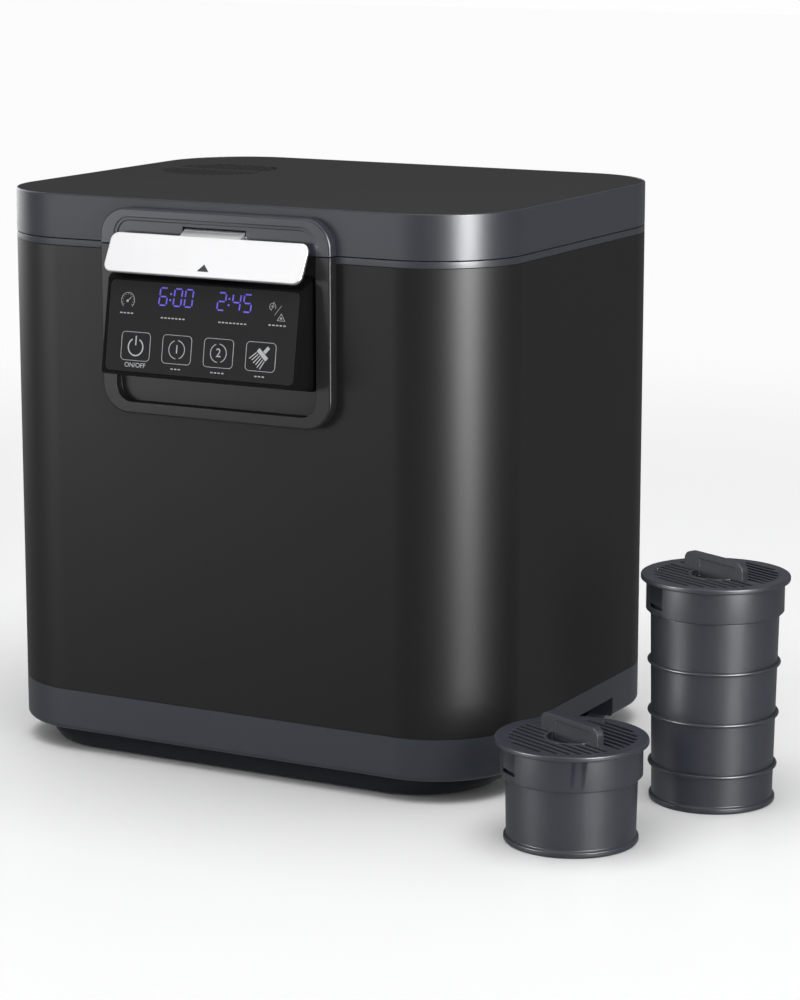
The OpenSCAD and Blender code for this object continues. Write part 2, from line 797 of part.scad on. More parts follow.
module agitator() color([0.70, 0.71, 0.73]) at(out_pos) {
  difference() {
    union() {
      translate([0, 0, bucket_floor + 1.2]) cylinder(r = hub_r, h = 26);
      translate([0, 0, bucket_floor + 27.2])
        cylinder(r1 = hub_r, r2 = 11, h = hub_top - bucket_floor - 27.2);
    }
    translate([0, 0, bucket_floor]) cylinder(r = boss_r + 1, h = boss_top + 1.2 - bucket_floor);
    translate([0, 0, bucket_floor]) cylinder(r = spindle_r, h = hub_top - 3 - bucket_floor);
  }
  for (a = [0, 180])
    rotate([0, 0, a]) translate([0, 0, bucket_floor + 8.5])
      blade(hub_r - 1.5, bucket_r - 8, 15, 11, 3, 32);
  for (a = [90, 270])
    rotate([0, 0, a]) translate([0, 0, bucket_floor + 32.5])
      blade(hub_r - 6, bucket_r - 12, 10, 8, 3, -35);
}

// Pot, bucket and heater

module heater_pot() color([0.70, 0.70, 0.70]) at(out_pos) difference() {
  union() {
    translate([0, 0, z_pot]) cylinder(r = pot_r + pot_t, h = z_bay - z_pot);
    translate([0, 0, z_bay - pot_t]) cylinder(r = jacket_r, h = pot_t);
  }
  translate([0, 0, pot_floor]) cylinder(r = pot_r, h = 400);
  translate([0, 0, z_pot - 1]) cylinder(r = bush_r, h = 10);
}

module heater_plate() color([0.60, 0.55, 0.45]) at(out_pos, z_pot - 4) difference() {
  cylinder(r = pot_r - 6, h = 4);
  translate([0, 0, -1]) cylinder(r = bush_r + 6, h = 10);
}

module thermostat() color([0.85, 0.85, 0.83]) at(out_pos) translate([0, 52, z_pot - 4 - 7]) {
  cylinder(r = 8, h = 7);
  translate([-11, -3, 5.5]) cube([22, 6, 1.5]);
}

module insulation_jacket() color([0.86, 0.84, 0.76]) at(out_pos, z_pot)
  tube(pot_r + pot_t + jacket_gap, jacket_r, z_bay - pot_t - 0.5 - z_pot);

module bucket() color([0.34, 0.34, 0.35]) at(out_pos) {
  difference() {
    union() {
      translate([0, 0, bucket_z]) rotate_extrude() polygon([
        [0, 0], [bucket_r - 10, 0], [bucket_r - 4, 4], [bucket_r - 2.5, 12],
        [bucket_r, bucket_h - 2], [rim_r, bucket_h - 2], [rim_r, bucket_h], [0, bucket_h]
      ]);
    }
    translate([0, 0, bucket_z]) rotate_extrude() polygon([
      [0, bucket_t], [bucket_r - 10.5, bucket_t], [bucket_r - 5.8, 5], [bucket_r - 2.5 - bucket_t, 13],
      [bucket_r - bucket_t, bucket_h + 1], [0, bucket_h + 1]
    ]);
    translate([0, 0, bucket_z - 1]) cylinder(r = boss_r - 2, h = 10);
  }
  difference() {
    translate([0, 0, bucket_z]) cylinder(r = boss_r, h = boss_top - bucket_z);
    translate([0, 0, bucket_z - 1]) cylinder(r = boss_r - 2, h = boss_top - bucket_z - 1);
    translate([0, 0, bucket_z]) cylinder(r = spindle_bush_r, h = 50);
  }
  for (a = [45, 225])
    rotate([0, 0, a]) translate([bucket_r - bucket_t - 44, -2.5, bucket_floor + 19])
      cube([44.6 - (a > 0 ? 1 : 0), 5, 4]);
  for (s = [0, 180]) rotate([0, 0, s]) translate([bucket_r - bucket_t, 0, bail_z]) difference() {
    union() {
      translate([-4.8, -5, -18]) cube([4.4, 10, 23]);
      translate([-4.8, -5, -18]) cube([5.4, 10, 13]);
    }
    rotate([0, 90, 0]) cylinder(r = bail_r, h = 20, center = true);
  }
}

module bucket_handle() color([0.72, 0.73, 0.74]) at(out_pos, bail_z) {
  rotate([0, 0, 180]) rotate_extrude(angle = 180) translate([bucket_r + 0.8, 0]) circle(bail_r);
  for (s = [-1, 1]) translate([s * (bucket_r + 0.8), 0, 0]) {
    sphere(bail_r);
    rotate([0, -s * 90, 0]) cylinder(r = bail_r - 0.2, h = 9);
  }
  rotate([0, 0, 250]) rotate_extrude(angle = 40) translate([bucket_r + 0.8, 0]) circle(grip_r);
}

// Filter bays, duct and fan

module bay(y, z0) translate([bay_x, y, 0]) difference() {
  union() {
    translate([0, 0, z0 - 2]) cylinder(r = bay_r + bay_t, h = z_bay - z0 + 2);
    translate([0, 0, z_bay - 2]) cylinder(r = bay_flange_r, h = 2);
  }
  translate([0, 0, z0]) cylinder(r = bay_r, h = z_bay - z0 + 10);
  translate([0, 0, z0 - 3]) difference() {
    cylinder(r = bay_port_r, h = 10);
    for (a = [0, 90])
      rotate([0, 0, a]) translate([-bay_port_r - 5, -port_bar_t / 2, -1])
        cube([2 * bay_port_r + 10, port_bar_t, 20]);
  }
}

module filter_bays() color([0.24, 0.25, 0.27]) {
  bay(tall_bay_y, tall_bay_z);
  bay(short_bay_y, short_bay_z);
}

module air_duct() color([0.20, 0.21, 0.22]) difference() {
  union() {
    translate([bay_x, (tall_bay_y + short_bay_y) / 2, duct_floor])
      slab(2 * bay_port_r + 8, tall_bay_y - short_bay_y + 2 * bay_port_r + 8, 14, duct_top - duct_floor);
    translate([bay_x, short_bay_y, duct_top - 5])
      cylinder(r = bay_port_r + duct_t, h = short_bay_z - 2 - duct_top + 5);
    translate([bay_x, tall_bay_y, duct_top + fan_h])
      cylinder(r = bay_port_r + duct_t, h = tall_bay_z - 2 - duct_top - fan_h);
  }
  translate([bay_x, (tall_bay_y + short_bay_y) / 2, duct_floor + duct_t])
    slab(2 * bay_port_r + 4, tall_bay_y - short_bay_y + 2 * bay_port_r + 4, 12,
      duct_top - duct_floor - 2 * duct_t);
  translate([bay_x, short_bay_y, duct_top - 10]) cylinder(r = bay_port_r, h = 400);
  translate([bay_x, tall_bay_y, duct_top - 10]) cylinder(r = bay_port_r, h = 400);
}

module fan_frame() color([0.12, 0.12, 0.12]) translate([bay_x, tall_bay_y, duct_top]) {
  difference() {
    slab(fan_w, fan_w, 3, fan_h);
    translate([0, 0, -1]) cylinder(r = impeller_r + 1, h = 40);
    for (sx = [-1, 1], sy = [-1, 1])
      translate([sx * 25, sy * 25, -1]) cylinder(r = 2.2, h = 40);
  }
  difference() {
    union() {
      cylinder(r = 12, h = 2);
      for (k = [0:3]) rotate([0, 0, 45 + 90 * k]) translate([10, -2, 0]) cube([20, 4, 2]);
      cylinder(r = 3.5, h = 3);
    }
    translate([0, 0, 1]) cylinder(r = 1.5, h = 10);
  }
}

module fan_impeller() color([0.10, 0.10, 0.10]) translate([bay_x, tall_bay_y, duct_top]) {
  translate([0, 0, 3.4]) cylinder(r = 11, h = fan_h - 4.4);
  translate([0, 0, 1.3]) cylinder(r = 1.5 - run, h = 4);
  intersection() {
    translate([0, 0, 3.4]) cylinder(r = impeller_r, h = fan_h - 4.4);
    for (k = [0:blades - 1])
      rotate([0, 0, 360 / blades * k]) translate([9, 0, fan_h / 2 + 1.2])
        rotate([38, 0, 0]) translate([0, -7.5, -0.8]) cube([30, 15, 1.6]);
  }
}

// Boards and mains inlet

module main_board() color([0.10, 0.35, 0.20]) translate([board_x0, board_y, z_gear + board_lift]) {
  translate([0, -board_l / 2, 0]) cube([board_w, board_l, 1.6]);
  for (x = [4, board_w - 4], s = [-1, 1])
    translate([x, s * (board_l / 2 - 4), -board_lift]) cylinder(r = 3, h = board_lift);
  translate([3, 6, 1.6]) cube([28, board_l / 2 - 16, 24]);
  for (x = [5, board_w - 29]) translate([x, -24, 1.6]) cube([18, 14, 16]);
  for (k = [0:2]) translate([board_w - 17, 2 + 15 * k, 1.6]) cylinder(r = 6, h = 20);
  translate([5, 6 - board_l / 2, 1.6]) cube([board_w - 16, 9, 10]);
}

module power_inlet() color([0.08, 0.08, 0.08]) translate([inlet_x, half_d, inlet_z])
  rotate([90, 0, 0]) difference() {
    union() {
      translate([0, 0, -2]) slab(34, 26, 3, 2);
      translate([0, 0, -2]) slab(inlet_w - 0.4, inlet_h - 0.4, 2, 22);
    }
    difference() {
      translate([0, 0, -3]) slab(24, 16.4, 2, 19);
      for (x = [-7, 0, 7])
        translate([x - 1, (x == 0 ? 2 : -2) - 2, 4]) cube([2, 4, 30]);
    }
  }

// Lid hinge

module hinge_at(s) translate([s * hinge_x, hinge_y, hinge_z]) children();

module barrel(r, len) rotate([0, 90, 0]) cylinder(r = r, h = len, center = true);

bracket_len = arm_knuckle + 2 * knuckle_play + 2 * side_knuckle;

module hinge_brackets() color([0.28, 0.30, 0.34]) for (s = [-1, 1]) hinge_at(s)
  difference() {
    union() {
      for (k = [-1, 1])
        translate([k * (bracket_len - side_knuckle) / 2, 0, 0]) {
          barrel(knuckle_r, side_knuckle);
          translate([-side_knuckle / 2, half_d - hinge_y, -12])
            cube([side_knuckle, knuckle_r + hinge_gap + 2, 12 - seam]);
        }
      translate([-bracket_len / 2, half_d - hinge_y, -26]) cube([bracket_len, leaf_t, 20]);
    }
    barrel(hinge_pin_r, bracket_len + 2);
    translate([-bracket_len, -20, -seam]) cube([2 * bracket_len, 20 - knuckle_r, 20]);
  }

module hinge_pins() color([0.75, 0.76, 0.78]) for (s = [-1, 1]) hinge_at(s)
  barrel(hinge_pin_r, bracket_len);

module lid_hinge_arms() color([0.28, 0.30, 0.34]) for (s = [-1, 1]) hinge_at(s)
  difference() {
    union() {
      barrel(knuckle_r, arm_knuckle);
      translate([-arm_knuckle / 2, half_d - hinge_y, seam / 2])
        cube([arm_knuckle, knuckle_r + hinge_gap, 5]);
      translate([-arm_knuckle / 2, half_d - hinge_y, seam / 2])
        cube([arm_knuckle, leaf_t, 19]);
    }
    barrel(hinge_pin_r + run, arm_knuckle + 2);
  }

// Lid

module lid_shell() color([0.28, 0.30, 0.34]) difference() {
  translate([0, 0, z_lid]) rr_sweep(unit_w, unit_d, corner_r) {
    translate([-ring_wall, 0]) square([ring_wall - 0, panel_z - z_lid]);
    translate([-lip_w, 0]) square([lip_w, lid_h - 1]);
    translate([-lip_w, lid_h - 1 - e]) square([lip_w - 0.8, 1 + e]);
    translate([-0.8, lid_h - 0.8]) quarter(0.8);
    translate([-0.8, lid_h - 1 - e]) square([0.8, 0.2 + e]);
    translate([-ring_wall - 4, panel_z - z_lid - ledge_t]) square([4 + e, ledge_t]);
  }
}

module vent_slots(t) translate([bay_x, tall_bay_y, 0])
  for (k = [-floor(vent_r / vent_pitch):floor(vent_r / vent_pitch)], s = [-1, 1]) {
    run_len = sqrt(max(0, pow(vent_r, 2) - pow(k * vent_pitch, 2))) - 2;
    if (run_len > 6)
      translate([k * vent_pitch, s * (2 + run_len / 2), 0])
        linear_extrude(t) slot2(vent_slot, run_len);
  }

module lid_top_panel() color([0.20, 0.20, 0.20]) difference() {
  translate([0, 0, panel_z])
    slab(unit_w - 2 * (lip_w + panel_gap), unit_d - 2 * (lip_w + panel_gap),
      corner_r - lip_w - panel_gap, panel_t);
  translate([0, 0, panel_z - 1]) vent_slots(10);
}

// Grey panel that fills the frame behind the flap, a small step deeper than
// the frame, cored from behind, with a window for the flap's neck
module lid_escutcheon() color([0.28, 0.30, 0.34]) difference() {
  frame_block(z_lid, frame_z1);
  frame_hole(frame_step_u);
  on_front() translate([0, (frame_in_z0 + hood_z1) / 2, hood_proud])
    slab(hood_w, hood_z1 - frame_in_z0, frame_in_r - frame_step, 20);
  for (s = [-1, 1]) {
    core_x = neck_gap_w / 2 + 7.5;
    core_w = hood_w / 2 - 2 - core_x;
    translate([s > 0 ? core_x : -core_x - core_w, face_y - hood_proud + hood_wall, z_lid + hood_wall])
      cube([core_w, hood_proud, hood_rise - 3 * hood_wall]);
  }
  translate([-neck_gap_w / 2, face_y - 30, z_lid - 5])
    cube([neck_gap_w, 32, neck_gap_z1 - z_lid + 5]);
  translate([0, face_y - axis_u, axis_z]) barrel(latch_pin_d / 2, neck_gap_w + 14);
}

module lid_liner() color([0.62, 0.63, 0.64]) difference() {
  union() {
    translate([0, 0, liner_z])
      slab(unit_w - 2 * deck_in, unit_d - 2 * deck_in, corner_r - deck_in, liner_t);
    at(out_pos, z_deck + gasket_h) tube(gasket_r, gasket_r + 4, liner_z - z_deck - gasket_h);
    translate([bay_x, tall_bay_y, liner_z]) cylinder(r = vent_r + 4, h = panel_z - liner_z);
    for (x = [-half_w + 26, 40, half_w - 26], s = [-1, 1])
      translate([x, s * (half_d - 22), liner_z]) cylinder(r = 4, h = panel_z - liner_z);
  }
  translate([bay_x, tall_bay_y, liner_z - 1]) cylinder(r = vent_r + 2, h = 40);
  translate([bay_x, short_bay_y, liner_z - 1]) cylinder(r = 20, h = 40);
}

module lid_gasket() color([0.55, 0.56, 0.58]) at(out_pos, z_deck + 0.3) difference() {
  union() {
    tube(gasket_r, gasket_r + 4, gasket_h - 0.3);
    tube(gasket_r - 1, gasket_r + 5.5, 1.2);
  }
}

module latch_pin() color([0.75, 0.76, 0.78]) translate([0, face_y - axis_u, axis_z])
  barrel(latch_pin_d / 2, neck_gap_w + 12);

module latch_spring() color([0.75, 0.76, 0.78]) translate([0, face_y - axis_u, axis_z]) {
  translate([-14, 0, 0]) rotate([0, 90, 0]) tube(latch_pin_d / 2 + 0.3, latch_pin_d / 2 + 1.1, 4);
}

// Pick-up flap and latch arm

module at_flap() on_front() translate([0, flap_z0, flap_u0]) rotate([-flap_tilt, 0, 0])
  children();

module pickup_flap() color([0.93, 0.93, 0.94]) difference() {
  union() {
    at_flap() translate([0, -flap_len / 2, -flap_t])
      pillow(flap_w, flap_len, 5, flap_t, 0.6);
    across(neck_gap_w - 2) polygon([
      uz(flap_u0 - 0.5, flap_z0 - 0.6), uz(flap_u0 - 3.2, flap_z0 - 2.4),
      uz(axis_u + 0.5, axis_z - 1), uz(axis_u + 1, axis_z + 2), uz(axis_u + 3.6, axis_z + 1.6)
    ]);
    translate([0, face_y - axis_u, axis_z]) barrel(barrel_r, neck_gap_w - 2);
  }
  translate([0, face_y - axis_u, axis_z]) barrel(latch_pin_d / 2 + run, neck_gap_w + 4);
  translate([-12, face_y - axis_u, axis_z]) barrel(latch_pin_d / 2 + 1.2, 4.8);
}

module latch_arm() color([0.60, 0.61, 0.63]) difference() {
  across(arm_w) polygon([
    uz(axis_u + 1, axis_z - barrel_r + 0.3), uz(axis_u + 1, keeper_z - 1),
    uz(tray_t + 0.4, keeper_z - 1), uz(tray_t + 0.4, keeper_z), uz(axis_u - 1.5, keeper_z + 2),
    uz(axis_u - 1.5, axis_z - barrel_r + 0.3)
  ]);
  translate([0, face_y - axis_u, axis_z]) barrel(barrel_r, neck_gap_w + 4);
}

// Filter canisters, drawn about their own axis

module can_body(h, ribs) difference() {
  rotate_extrude() {
    f = foot_r(h);
    polygon([
      [f - can_wall, 0], [f + 0.6, 0], [f + 1.4, 1], [f + 1.4, 3], [f, 4],
      [can_d / 2, h - collar_h - 0.4], [neck_r, h - collar_h],
      [neck_r, h - cap_t - 2.2], [neck_r - can_wall, h - cap_t - 2.2],
      [neck_r - can_wall, h - collar_h], [f - can_wall, 4]
    ]);
    polygon([[0, 1.2], [f - can_wall + e, 1.2], [f - can_wall + e, 3.2], [0, 3.2]]);
    for (z = ribs)
      translate([f + (can_d / 2 - f) * z / (h - collar_h) + rib_out, z]) circle(rib_r);
  }
  for (k = [1:3], a = [0:60 / k:359])
    rotate([0, 0, a]) translate([9 * k, 0, -1]) cylinder(r = 1.6, h = 10);
}

module can_lugs(h) for (s = [0, 180])
  rotate([0, 0, window_a + s]) translate([0, 0, h - window_drop - lug_t / 2])
    rotate_extrude(angle = lug_a) translate([neck_r - 0.8, 0]) square([lug_out - neck_r + 0.8, lug_t]);

module canister(h, ribs) {
  can_body(h, ribs);
  can_lugs(h);
}

module carbon(h) cylinder(r = foot_r(h) - can_wall - 0.5, h = h - collar_h - 8);

module seal(h) translate([0, 0, h - cap_t - 1.9]) rotate_extrude()
  translate([neck_r - can_wall - 1.2, 0]) square([can_wall + 1.2, 1.6]);

module cap_disc(h) difference() {
  rotate_extrude() polygon([
    [0, h - cap_t], [collar_in, h - cap_t], [collar_in, h - collar_h],
    [collar_d / 2 - 1, h - collar_h], [collar_d / 2, h - collar_h + 1],
    [collar_d / 2, h - flange_t], [flange_d / 2 - 0.5, h - flange_t],
    [flange_d / 2, h - flange_t + 0.5], [flange_d / 2, h - 0.5],
    [flange_d / 2 - 0.5, h], [0, h]
  ]);
  for (k = [0:cap_slots - 1], s = [-1, 1]) {
    y = fin_t / 2 + 2.2 + k * cap_pitch;
    x = sqrt(pow(cap_field_r, 2) - pow(y, 2));
    rotate([0, 0, fin_angle]) translate([-x, s * y - cap_slot / 2, h - 10]) cube([2 * x, cap_slot, 20]);
  }
  translate([0, 0, h - 10]) cylinder(r = well_r, h = 20);
  for (s = [0, 180]) rotate([0, 0, window_a + s]) {
    rotate([0, 0, -cap_twist - 2]) translate([0, 0, h - window_drop - window_h / 2]) {
      rotate_extrude(angle = cap_twist + lug_a + 4)
        translate([collar_in - 1, 0]) square([lug_out + slip - collar_in + 1, window_h]);
      rotate([0, 0, 0.5]) rotate_extrude(angle = window_open - 1)
        translate([lug_out, 0.2]) square([4, window_h - 0.4]);
    }
    rotate([0, 0, -1.5]) translate([0, 0, h - collar_h - 1])
      rotate_extrude(angle = lug_a + 3) translate([collar_in - 1, 0])
        square([lug_out + slip - 0.1 - collar_in + 1, collar_h + 1 - window_drop]);
  }
}

// Side view of the fin handle, with its two upper corners rounded
module fin_side() {
  square([fin_len, 2 * (fin_h - fin_corner)], center = true);
  translate([0, fin_h / 2]) square([fin_len - 2 * fin_corner, fin_h], center = true);
  translate([0, -(well_depth + 1) / 2]) square([fin_len, well_depth + 1], center = true);
  for (s = [-1, 1]) translate([s * (fin_len / 2 - fin_corner), fin_h - fin_corner]) circle(fin_corner);
}

module fin(h) rotate([0, 0, fin_angle]) difference() {
  translate([0, fin_t / 2, h]) rotate([90, 0, 0]) linear_extrude(fin_t) fin_side();
  for (s = [-1, 1])
    translate([(grip_from - 0.5) * fin_len, s * fin_t / 2 - 0.6, h - well_depth + 2])
      cube([(grip_to - grip_from) * fin_len, 1.2, fin_h - grip_top + well_depth - 2]);
  for (s = [-1, 1])
    translate([s * (well_r + 0.8 + fin_len / 2), 0, h - cap_t + 0.5 - 15])
      cube([fin_len, 20, 30], center = true);
  translate([0, 0, h - well_depth - 1.2 - 10]) cube([2 * fin_len, 20, 20], center = true);
}

// Round cup under the fin, for the fingertips
module finger_well(h) rotate_extrude() polygon([
  [0, h - well_depth - 1.8], [well_r + 1.6, h - well_depth - 1.8], [well_r + 1.6, h],
  [well_r, h], [well_r, h - well_depth], [0, h - well_depth]
]);

module cap(h) {
  cap_disc(h);
  finger_well(h);
  fin(h);
}

module tall_canister() color([0.28, 0.30, 0.34]) at(tall_pos) canister(tall_h, rib_z);
module tall_carbon() color([0.12, 0.12, 0.12]) at(tall_pos, 3.5) carbon(tall_h);
module tall_seal() color([0.10, 0.10, 0.10]) at(tall_pos) seal(tall_h);
module tall_cap() color([0.30, 0.32, 0.36]) at(tall_pos) cap(tall_h);
module short_canister() color([0.28, 0.30, 0.34]) at(short_pos) canister(short_h, []);
module short_carbon() color([0.12, 0.12, 0.12]) at(short_pos, 3.5) carbon(short_h);
module short_seal() color([0.10, 0.10, 0.10]) at(short_pos) seal(short_h);
module short_cap() color([0.30, 0.32, 0.36]) at(short_pos) cap(short_h);

base_plinth();
rubber_feet();
load_cells();
base_ring();
body_shell();
top_frame();
inner_deck();
control_bezel();
control_pod();
control_glass();
display_board();
chassis_plate();
gear_case();
gear_cover();
gear_axles();
shaft_bushes();
motor_can();
motor_stator();
heater_pot();
heater_plate();
thermostat();
insulation_jacket();
filter_bays();
air_duct();
fan_frame();
main_board();
power_inlet();
hinge_brackets();
hinge_pins();
bucket();
bucket_handle();
lid_shell();
lid_top_panel();
lid_escutcheon();
lid_liner();
lid_gasket();
lid_hinge_arms();
latch_pin();
latch_spring();
pickup_flap();
latch_arm();
output_gear();
drive_shaft();
agitator_spindle();
agitator();
second_gear();
first_gear();
motor_rotor();
fan_impeller();
tall_canister();
tall_carbon();
tall_seal();
tall_cap();
short_canister();
short_carbon();
short_seal();
short_cap();
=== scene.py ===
# %% [markdown]
# # Dressing a worktop composter
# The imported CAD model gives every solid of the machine, at its real size and
# in its real place. This lesson keeps those solids as the frame and gives
# them what a camera looks for: soft edges, moulded and metal finishes, the
# printed panel, the pellets in the filters and the light of a small studio.

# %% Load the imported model
import json
import math

import bmesh
import bpy
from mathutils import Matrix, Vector


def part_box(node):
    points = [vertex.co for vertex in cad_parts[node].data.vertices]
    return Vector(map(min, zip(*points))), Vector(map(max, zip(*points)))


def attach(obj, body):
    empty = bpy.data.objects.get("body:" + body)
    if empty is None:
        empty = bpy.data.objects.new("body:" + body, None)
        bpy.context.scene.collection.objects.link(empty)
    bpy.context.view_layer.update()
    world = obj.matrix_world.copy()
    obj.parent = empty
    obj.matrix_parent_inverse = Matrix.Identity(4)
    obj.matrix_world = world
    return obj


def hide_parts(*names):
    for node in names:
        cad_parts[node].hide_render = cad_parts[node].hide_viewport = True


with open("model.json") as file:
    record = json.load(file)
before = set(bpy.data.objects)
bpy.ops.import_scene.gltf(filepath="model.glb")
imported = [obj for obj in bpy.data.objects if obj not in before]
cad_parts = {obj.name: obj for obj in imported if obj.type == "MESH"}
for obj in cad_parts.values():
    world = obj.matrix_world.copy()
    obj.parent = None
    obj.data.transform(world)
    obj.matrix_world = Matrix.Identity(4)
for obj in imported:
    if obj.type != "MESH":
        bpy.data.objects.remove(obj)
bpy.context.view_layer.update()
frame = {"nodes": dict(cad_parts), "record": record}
MM = 0.001
nodes = frame["nodes"]
record = frame["record"]
body_of = {n: b for b, held in record["behaviour"]["bodies"].items() for n in held}
slot_of = {s["node"]: s["material_slot"] for s in record["subparts"]}

# %% [markdown]
# An object that isn't linked to a collection stays out of the scene. So
# one small function makes an object and links it, and every camera, light
# and new piece below comes from it.

# %% Make and link an object
def placed(name, data):
    thing = bpy.data.objects.new(name, data)
    bpy.context.scene.collection.objects.link(thing)
    return thing


# %% [markdown]
# ## The camera
# A long lens far away keeps the box looking square, as in a catalogue
# picture. The camera stands to the right of the front and looks down a
# little. Its place comes from measuring the rounded corners and the round
# caps, so nothing here has to be moved until it looks right.

# %% Set up the camera
# sensor width in mm, lens length in sensor widths, angles in degrees, place in metres
SENSOR, ZOOM = 36.0, 3.1216
AZIMUTH, TILT = 28.316, 11.473
STAND = (0.9246, -1.6318, 0.5217)
lens = bpy.data.cameras.new("portrait_lens")
lens.sensor_width = SENSOR
lens.lens = SENSOR * ZOOM
lens.clip_start, lens.clip_end = 0.1, 60.0
camera = placed("portrait_camera", lens)
camera.location = STAND
camera.rotation_euler = (math.radians(90 - TILT), 0, math.radians(AZIMUTH))
bpy.context.scene.camera = camera
print("camera lens", round(lens.lens, 1), "mm")

# %% [markdown]
# ## Shared effects
# Several finishes need the same effects, so each effect is a node group,
# built once. A moulding has a fine spark-eroded grain, a colour that is
# never quite even, and places that hands have polished. Rolled and turned
# metal has fine lines in one direction. These helpers add a node and feed
# its inputs, each from a number or from another node.

# %% Helpers for node groups
FLOAT, INT, COLOUR, VECTOR = "NodeSocketFloat", "NodeSocketInt", "NodeSocketColor", "NodeSocketVector"


def node_group(kind, name, inputs, outputs):
    group = bpy.data.node_groups.new(name, kind)
    for label, socket_type, value in inputs:
        socket = group.interface.new_socket(label, in_out="INPUT", socket_type=socket_type)
        if value is not None:
            socket.default_value = value
    for label, socket_type in outputs:
        group.interface.new_socket(label, in_out="OUTPUT", socket_type=socket_type)
    return group, group.nodes.new("NodeGroupInput"), group.nodes.new("NodeGroupOutput")


def feed(tree, socket, value):
    if isinstance(value, bpy.types.NodeSocket):
        tree.links.new(value, socket)
    else:
        socket.default_value = value


def noise(tree, vector, scale, detail, rough=0.55):
    node = tree.nodes.new("ShaderNodeTexNoise")
    for label, value in (("Vector", vector), ("Scale", scale), ("Detail", detail), ("Roughness", rough)):
        feed(tree, node.inputs[label], value)
    return node.outputs["Fac"]


def maths(tree, operation, *values):
    node = tree.nodes.new("ShaderNodeMath")
    node.operation = operation
    for socket, value in zip(node.inputs, values):
        feed(tree, socket, value)
    return node.outputs[0]


def colour_mix(tree, factor, a, b):
    node = tree.nodes.new("ShaderNodeMix")
    node.data_type = "RGBA"
    for number, value in ((0, factor), (6, a), (7, b)):
        feed(tree, node.inputs[number], value)
    return node.outputs[2]


print("helpers ready")

# %% [markdown]
# Every surface here is made alike: a slow noise mixes two nearby colours,
# a second pattern swings the roughness, and a third is the height that a
# material turns into a bump of its own strength. So the three groups below
# only differ in their patterns, and these two functions do the rest.

# %% What every surface shares
def surface_group(name, *extra):
    inputs = [("Vector", VECTOR, None), ("Colour", COLOUR, (0.5, 0.5, 0.5, 1)),
              ("Second colour", COLOUR, (0.5, 0.5, 0.5, 1)), ("Roughness", FLOAT, 0.4), *extra]
    outputs = [("Colour", COLOUR), ("Roughness", FLOAT), ("Height", FLOAT)]
    return node_group("ShaderNodeTree", name, inputs, outputs)


def close_surface(tree, source, sink, clouds, swing, amount, height):
    pick = source.outputs
    mix = colour_mix(tree, clouds, pick["Colour"], pick["Second colour"])
    evened = maths(tree, "SUBTRACT", swing, 0.5)
    rough = maths(tree, "MULTIPLY_ADD", evened, pick[amount], pick["Roughness"])
    for label, value in (("Colour", mix), ("Roughness", rough), ("Height", height)):
        tree.links.new(value, sink.inputs[label])
    return tree


print("surface helpers ready")

# %% [markdown]
# A moulding came out of a steel tool whose walls were etched, so it has a
# fine grain all over. The noise for its roughness is coarser, because it
# stands for the places that hands have polished.

# %% The moulded surface
def moulded_group():
    tree, source, sink = surface_group("Moulded surface", ("Grain size", FLOAT, 1500.0),
                                       ("Handling", FLOAT, 0.06))
    vector = source.outputs["Vector"]
    clouds = noise(tree, vector, scale=9.0, detail=3.0)
    hands = noise(tree, vector, scale=26.0, detail=5.0, rough=0.65)
    grain = noise(tree, vector, scale=source.outputs["Grain size"], detail=2.0, rough=0.6)
    return close_surface(tree, source, sink, clouds, hands, "Handling", grain)


MOULDED = moulded_group()
print("built", MOULDED.name)

# %% [markdown]
# Metal sheet is brushed by its rollers. The noise is squeezed along two
# axes, so it turns into lines. The group gives lines for the bump, and
# the same lines lift the roughness a little.

# %% The drawn metal surface
def drawn_group():
    tree, source, sink = surface_group("Drawn metal", ("Squeeze", VECTOR, (40.0, 1600.0, 1600.0)),
                                       ("Line strength", FLOAT, 0.12))
    squeeze = tree.nodes.new("ShaderNodeVectorMath")
    squeeze.operation = "MULTIPLY"
    feed(tree, squeeze.inputs[0], source.outputs["Vector"])
    feed(tree, squeeze.inputs[1], source.outputs["Squeeze"])
    lines = noise(tree, squeeze.outputs[0], scale=1.0, detail=3.0, rough=0.6)
    clouds = noise(tree, source.outputs["Vector"], scale=18.0, detail=3.0)
    return close_surface(tree, source, sink, clouds, lines, "Line strength", lines)


DRAWN = drawn_group()
print("built", DRAWN.name)

# %% [markdown]
# A pot that is spun on a lathe has fine rings round its own axis. The
# group measures the distance from that axis and turns it into rings. A
# Mapping node in each material puts the axis where the piece is.

# %% The spun metal surface
def spun_group():
    tree, source, sink = surface_group("Spun rings", ("Rings a metre", FLOAT, 900.0),
                                       ("Line strength", FLOAT, 0.12))
    parts = tree.nodes.new("ShaderNodeSeparateXYZ")
    feed(tree, parts.inputs[0], source.outputs["Vector"])
    across, along, up = parts.outputs
    squares = [maths(tree, "MULTIPLY", side, side) for side in (across, along)]
    reach = maths(tree, "POWER", maths(tree, "ADD", *squares), 0.5)
    rings = source.outputs["Rings a metre"]
    join = tree.nodes.new("ShaderNodeCombineXYZ")
    feed(tree, join.inputs[0], maths(tree, "MULTIPLY", reach, rings))
    feed(tree, join.inputs[2], maths(tree, "MULTIPLY", up, rings))
    lines = noise(tree, join.outputs[0], scale=1.0, detail=2.0, rough=0.6)
    clouds = noise(tree, source.outputs["Vector"], scale=22.0, detail=3.0)
    return close_surface(tree, source, sink, clouds, lines, "Line strength", lines)


SPUN = spun_group()
print("built", SPUN.name)

# %% [markdown]
# ## The finishes
# Each finish is one Principled shader. The group feeds its colour and
# roughness, and a Bump node turns the group's height into a normal. What
# is the same all over, such as the gloss level, sits on the shader itself.

# %% A maker for finishes
# depth of a bump in metres, and the second colour where none is given
BUMP_DEPTH, LIGHTER = 0.0002, 1.12


